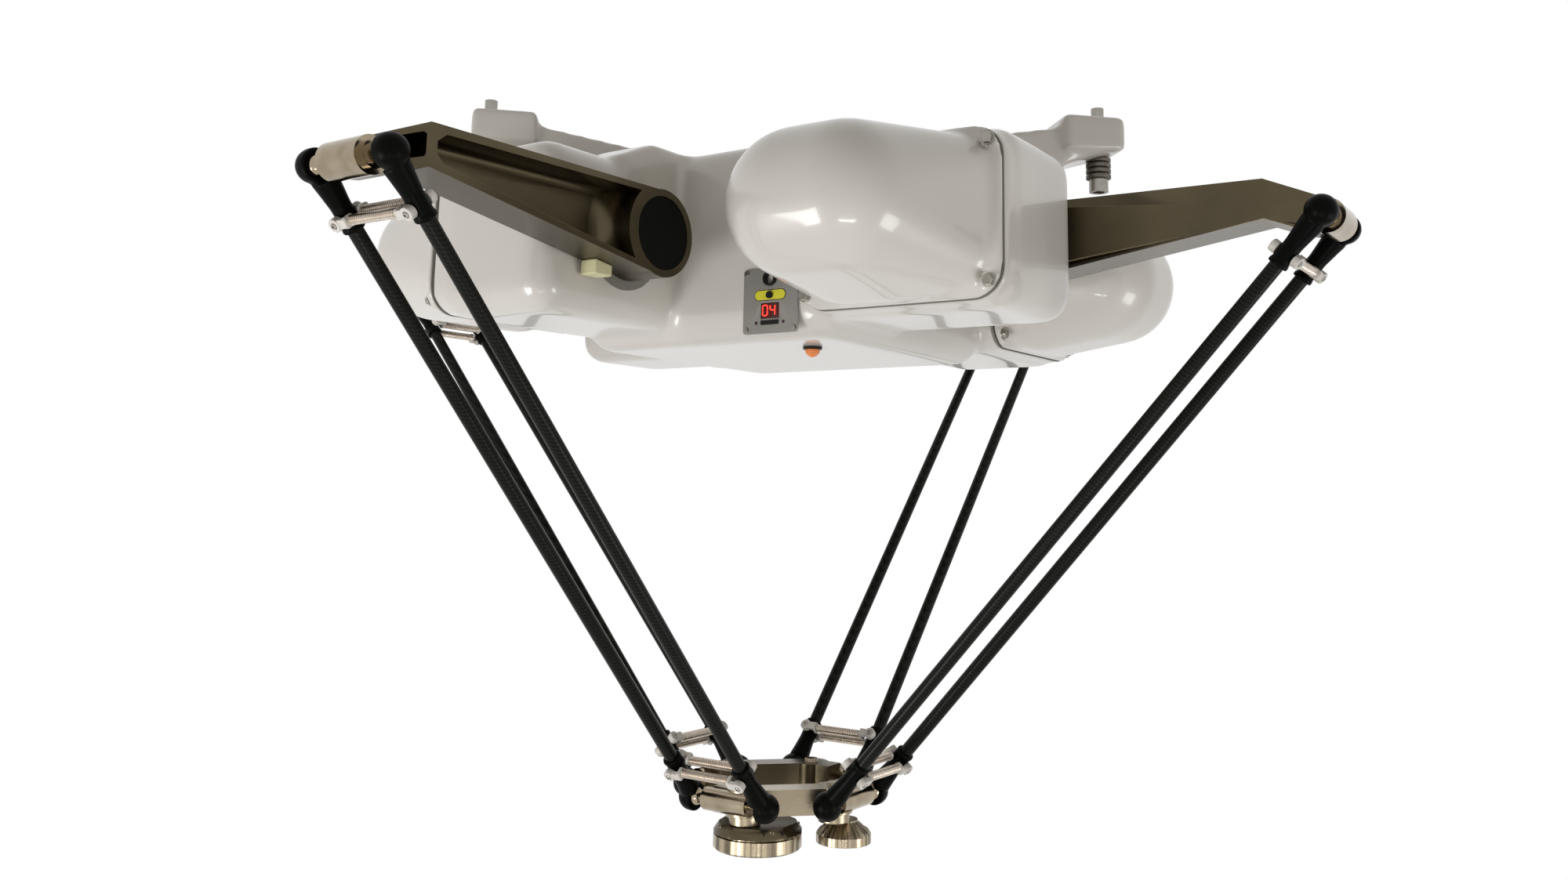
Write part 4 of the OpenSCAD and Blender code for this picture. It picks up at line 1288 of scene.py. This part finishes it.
def add_camera():
    """Camera turned by its heading, rise and roll"""
    settings = studio()
    data = bpy.data.cameras.new("camera")
    data.sensor_width = FULL_FRAME
    data.sensor_fit = "HORIZONTAL"
    data.lens = settings.lens
    data.shift_x, data.shift_y = settings.shift
    data.clip_end = FAR
    camera = bpy.data.objects.new("camera", data)
    bpy.context.scene.collection.objects.link(camera)
    flat = Vector((math.cos(settings.heading), math.sin(settings.heading), 0))
    forward = flat * math.cos(settings.rise) + Vector((0, 0, math.sin(settings.rise)))
    right = Vector((flat.y, -flat.x, 0))
    up = right.cross(forward)
    turned_right = right * math.cos(settings.roll) + up * math.sin(settings.roll)
    turned_up = up * math.cos(settings.roll) - right * math.sin(settings.roll)
    matrix = Matrix((turned_right, turned_up, -forward)).transposed().to_4x4()
    matrix.translation = settings.eye
    camera.matrix_world = matrix
    bpy.context.scene.camera = camera


def show_by_ray(tree, kinds, other, white, output):
    """Shows the white shader to the listed kinds of ray, and the other one to the rest"""
    rays = tree.nodes.new("ShaderNodeLightPath")
    seen = rays.outputs[kinds[0]]
    for kind in kinds[1:]:
        either = tree.nodes.new("ShaderNodeMath")
        either.operation = "MAXIMUM"
        tree.links.new(seen, either.inputs[0])
        tree.links.new(rays.outputs[kind], either.inputs[1])
        seen = either.outputs[0]
    both = tree.nodes.new("ShaderNodeMixShader")
    for socket, source in zip(both.inputs, (seen, other.outputs[0], white.outputs[0])):
        tree.links.new(source, socket)
    tree.links.new(both.outputs[0], tree.nodes.new(output).inputs[0])


def add_floor():
    """A wide pale floor below the robot, white to the camera and to reflections"""
    shape = bmesh.new()
    bmesh.ops.create_grid(shape, x_segments=2, y_segments=2, size=FLOOR_HALF)
    bmesh.ops.translate(shape, verts=shape.verts, vec=(0, 0, CAD_LOW.z - FLOOR_BELOW))
    mesh = bpy.data.meshes.new("floor")
    shape.to_mesh(mesh)
    shape.free()
    floor = bpy.data.objects.new("floor", mesh)
    bpy.context.scene.collection.objects.link(floor)
    pale = bpy.data.materials.new("floor")
    pale.use_nodes = True
    tree = pale.node_tree
    tree.nodes.clear()
    matt = tree.nodes.new("ShaderNodeBsdfDiffuse")
    matt.inputs["Color"].default_value = (0.8, 0.8, 0.8, 1)
    white = tree.nodes.new("ShaderNodeEmission")
    show_by_ray(tree, ("Is Camera Ray", "Is Glossy Ray"), matt, white, "ShaderNodeOutputMaterial")
    mesh.materials.append(pale)


def add_world():
    """Warm dim light all round, white to the camera, reflections and glass"""
    world = bpy.data.worlds.new("studio")
    bpy.context.scene.world = world
    world.use_nodes = True
    tree = world.node_tree
    tree.nodes.clear()
    dim = tree.nodes.new("ShaderNodeBackground")
    dim.inputs["Color"].default_value = (1.0, 0.955, 0.875, 1)
    dim.inputs["Strength"].default_value = studio().ambient
    white = tree.nodes.new("ShaderNodeBackground")
    white.inputs["Color"].default_value = (1, 1, 1, 1)
    white.inputs["Strength"].default_value = 1.0
    show_by_ray(tree, ("Is Camera Ray", "Is Glossy Ray", "Is Transmission Ray"), dim, white,
                "ShaderNodeOutputWorld")


LAMPS = (
    # name, position, aim, width, watts
    ("low_front", (1.3, 0.9, -1.8), (0.1, 0.1, -0.25), 0.8, 31),
    ("low_left", (1.8, -0.5, -1.2), (0, 0, -0.25), 0.7, 17),
    ("low_right", (-0.2, 2.0, -1.4), (0, 0, -0.25), 0.8, 13),
)


def add_lamps():
    """Square soft lamps below the robot, each aimed at a point"""
    for name, spot, aim, width, watts in LAMPS:
        data = bpy.data.lights.new(name, "AREA")
        data.shape = "SQUARE"
        data.size = width
        data.energy = watts
        lamp = bpy.data.objects.new(name, data)
        bpy.context.scene.collection.objects.link(lamp)
        lamp.location = spot
        lamp.rotation_euler = (Vector(spot) - Vector(aim)).to_track_quat("Z", "Y").to_euler()


class ROBOT_PT_panel(bpy.types.Panel):
    """Lists the robot's pieces and settings"""

    bl_label = "Picking robot"
    bl_idname = "ROBOT_PT_panel"
    bl_space_type = "VIEW_3D"
    bl_region_type = "UI"
    bl_category = "Robot"

    def draw(self, context):
        for operator in OPERATORS:
            self.layout.operator(operator.bl_idname)
        for settings in (finish(), sizes(), studio()):
            for key in settings.__annotations__:
                self.layout.prop(settings, key)


OPERATORS = (ROBOT_OT_materials, ROBOT_OT_eased, ROBOT_OT_casting, ROBOT_OT_covers, ROBOT_OT_coves,
             ROBOT_OT_rod_ends, ROBOT_OT_springs, ROBOT_OT_links, ROBOT_OT_platform_detail,
             ROBOT_OT_panel_detail, ROBOT_OT_lamp, ROBOT_OT_stage)
GROUPS = (RobotFinish, RobotSizes, StudioSettings)


def register():
    for group in GROUPS + OPERATORS + (ROBOT_PT_panel,):
        bpy.utils.register_class(group)
    bpy.types.Scene.robot_finish = PointerProperty(type=RobotFinish)
    bpy.types.Scene.robot_sizes = PointerProperty(type=RobotSizes)
    bpy.types.Scene.robot_studio = PointerProperty(type=StudioSettings)


def unregister():
    del bpy.types.Scene.robot_studio
    del bpy.types.Scene.robot_sizes
    del bpy.types.Scene.robot_finish
    for group in reversed(GROUPS + OPERATORS + (ROBOT_PT_panel,)):
        bpy.utils.unregister_class(group)


def main():
    register()
    bpy.context.scene.view_settings.view_transform = "Standard"
    bpy.ops.robot.materials()
    bpy.ops.robot.eased()
    bpy.ops.robot.casting()
    bpy.ops.robot.covers()
    bpy.ops.robot.coves()
    bpy.ops.robot.rod_ends()
    bpy.ops.robot.springs()
    bpy.ops.robot.links()
    bpy.ops.robot.platform_detail()
    bpy.ops.robot.panel_detail()
    bpy.ops.robot.lamp()
    bpy.ops.robot.stage()


if __name__ == "__main__":
    main()
